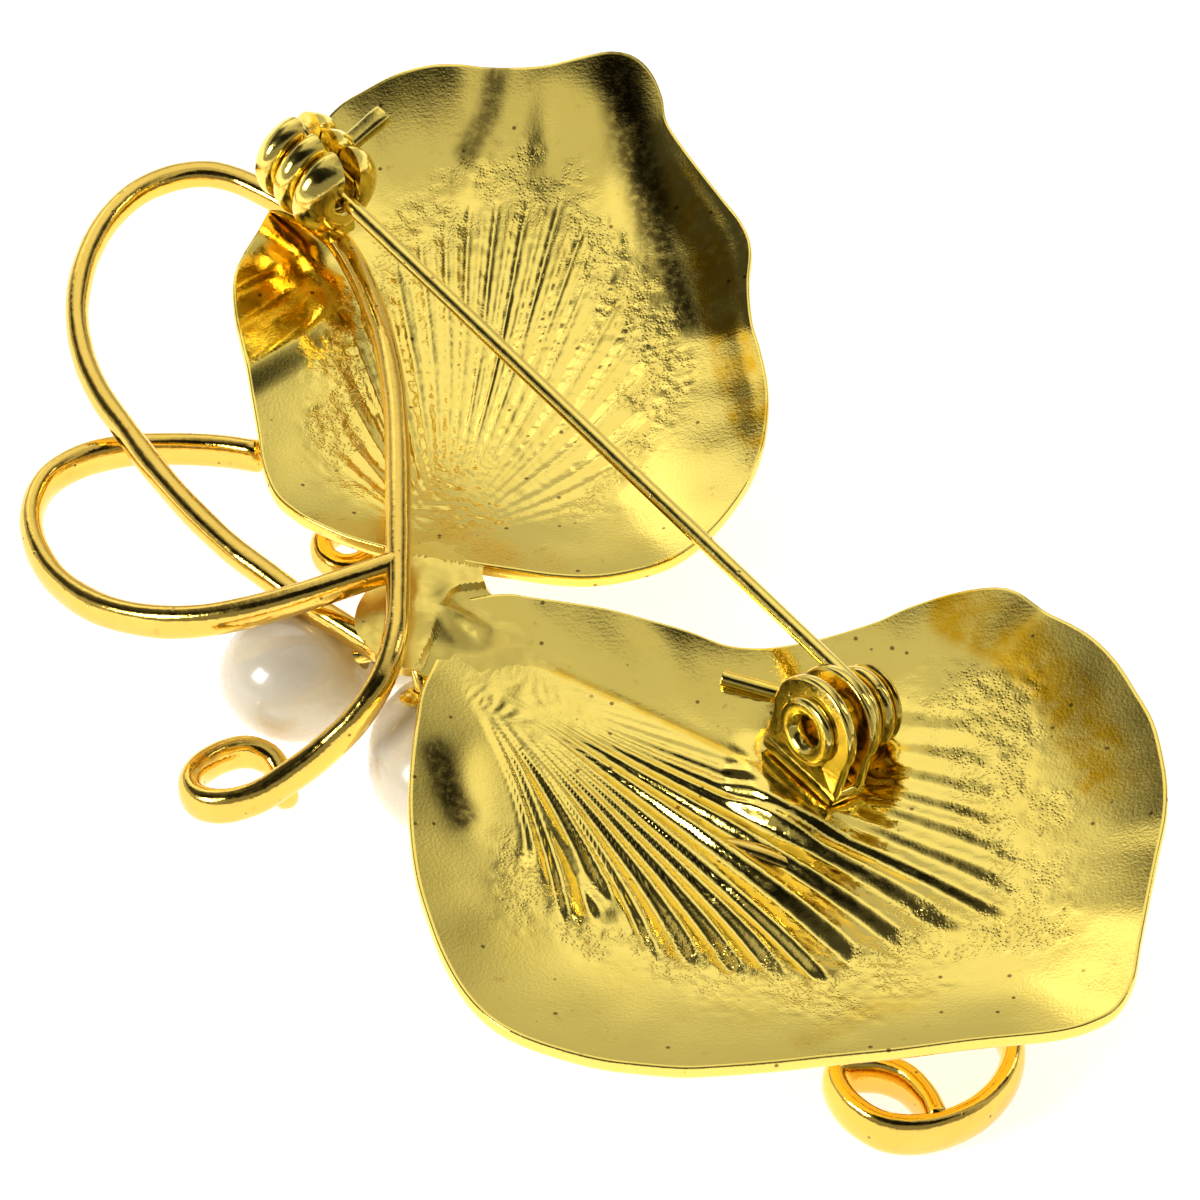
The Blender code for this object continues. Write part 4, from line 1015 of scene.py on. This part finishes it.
scene = bpy.context.scene
world = bpy.data.worlds.new("tent")
scene.world = world
world.use_nodes = True
tree = world.node_tree
tree.nodes.clear()
coord = tree.nodes.new("ShaderNodeTexCoord")


def world_dot(vector):
    n = tree.nodes.new("ShaderNodeVectorMath")
    n.operation = "DOT_PRODUCT"
    tree.links.new(coord.outputs["Generated"], n.inputs[0])
    n.inputs[1].default_value = Vector(vector).normalized()
    return n.outputs["Value"]


def world_range(value, lo, hi, a, b):
    n = tree.nodes.new("ShaderNodeMapRange")
    n.interpolation_type = "SMOOTHSTEP"
    tree.links.new(value, n.inputs["Value"])
    for key, number in (("From Min", lo), ("From Max", hi), ("To Min", a), ("To Max", b)):
        n.inputs[key].default_value = number
    return n.outputs["Result"]


def world_math(op, a, b):
    n = tree.nodes.new("ShaderNodeMath")
    n.operation = op
    tree.links.new(a, n.inputs[0])
    tree.links.new(b, n.inputs[1])
    return n.outputs[0]


# grey room, bright over its far side; overhead it is dark towards the viewer and at both sides
tall = world_dot((0, 0, 1))


def overhead(value, lo, hi, low, where=None):
    """value where the room is high, low where it is low or where is 0."""
    n = tree.nodes.new("ShaderNodeMix")
    n.data_type = "FLOAT"
    high = world_range(tall, lo, hi, 0.0, 1.0)
    tree.links.new(world_math("MULTIPLY", high, where) if where else high, n.inputs[0])
    n.inputs[2].default_value = low
    tree.links.new(value, n.inputs[3])
    return n.outputs[0]


opening = overhead(world_range(world_dot((0.38, 0.92, 0)), -0.28, -0.03, 0.03, 1.0), 0.42, 0.62, 1.0)
right = world_range(world_dot((1, 0, 0)), 0.28, 0.66, 1.0, 0.06)
left = world_range(world_dot((-1, 0, 0)), 0.24, 0.60, 1.0, 0.09)
room = world_range(tall, 0.0, 0.95, 0.54, 0.62)
ceiling = world_range(world_dot((-0.06, 0.66, 0.74)), 0.86, 0.985, 0.0, 0.42)
window = world_range(world_dot((-0.40, 0.81, 0.42)), 0.968, 0.992, 0.0, 0.8)
far = world_range(world_dot((0, 1, 0)), -0.3, 0.05, 0.0, 1.0)
sides = overhead(world_math("MULTIPLY", left, right), 0.22, 0.42, 1.0, far)
viewer = world_range(world_dot((0.1, 1, 0)), -0.55, -0.1, 0.5, 1.0)
light = world_math("MULTIPLY", world_math("MULTIPLY", opening, viewer), world_math("ADD", world_math("MULTIPLY", sides, world_math("ADD", room, ceiling)), window))
background = tree.nodes.new("ShaderNodeBackground")
tree.links.new(light, background.inputs["Strength"])
background.inputs["Color"].default_value = (1.0, 0.985, 0.96, 1.0)
output = tree.nodes.new("ShaderNodeOutputWorld")
tree.links.new(background.outputs[0], output.inputs["Surface"])


def lamp(name, at, aim, size, power):
    data = bpy.data.lights.new(name, "AREA")
    data.shape = "RECTANGLE"
    data.size, data.size_y = size
    data.energy = power
    ob = bpy.data.objects.new(name, data)
    ob.location = at
    ob.rotation_euler = (Vector(aim) - Vector(at)).to_track_quat("-Z", "Y").to_euler()
    bpy.context.scene.collection.objects.link(ob)
    return ob


lamp("left_box", (-0.40, -0.22, 0.24), (-0.015, 0, 0.004), (0.16, 0.16), 1.1)
lamp("side_box", (0.5, 0.15, 0.35), (0, 0, 0.005), (0.12, 0.3), 0.25)

e = math.radians(VIEW_ELEVATION)
aim = Vector((-CENTRE_X, -CENTRE_Y, AIM_HEIGHT)) * MM
camera_data = bpy.data.cameras.new("camera")
camera_data.sensor_width = 36.0
camera_data.lens = 36.0 * VIEW_SCALE * VIEW_DISTANCE / (2 * DRAWING_MIDDLE)
camera_data.clip_start = 0.005
camera_data.clip_end = 20.0
camera = bpy.data.objects.new("camera", camera_data)
camera.location = aim + Vector((0, -math.cos(e), math.sin(e))) * VIEW_DISTANCE * MM
camera.rotation_euler = (math.pi / 2 - e, 0, 0)
scene.collection.objects.link(camera)
scene.camera = camera
scene.view_settings.view_transform = "Standard"
scene.view_settings.look = "None"
scene.view_settings.exposure = 0.0
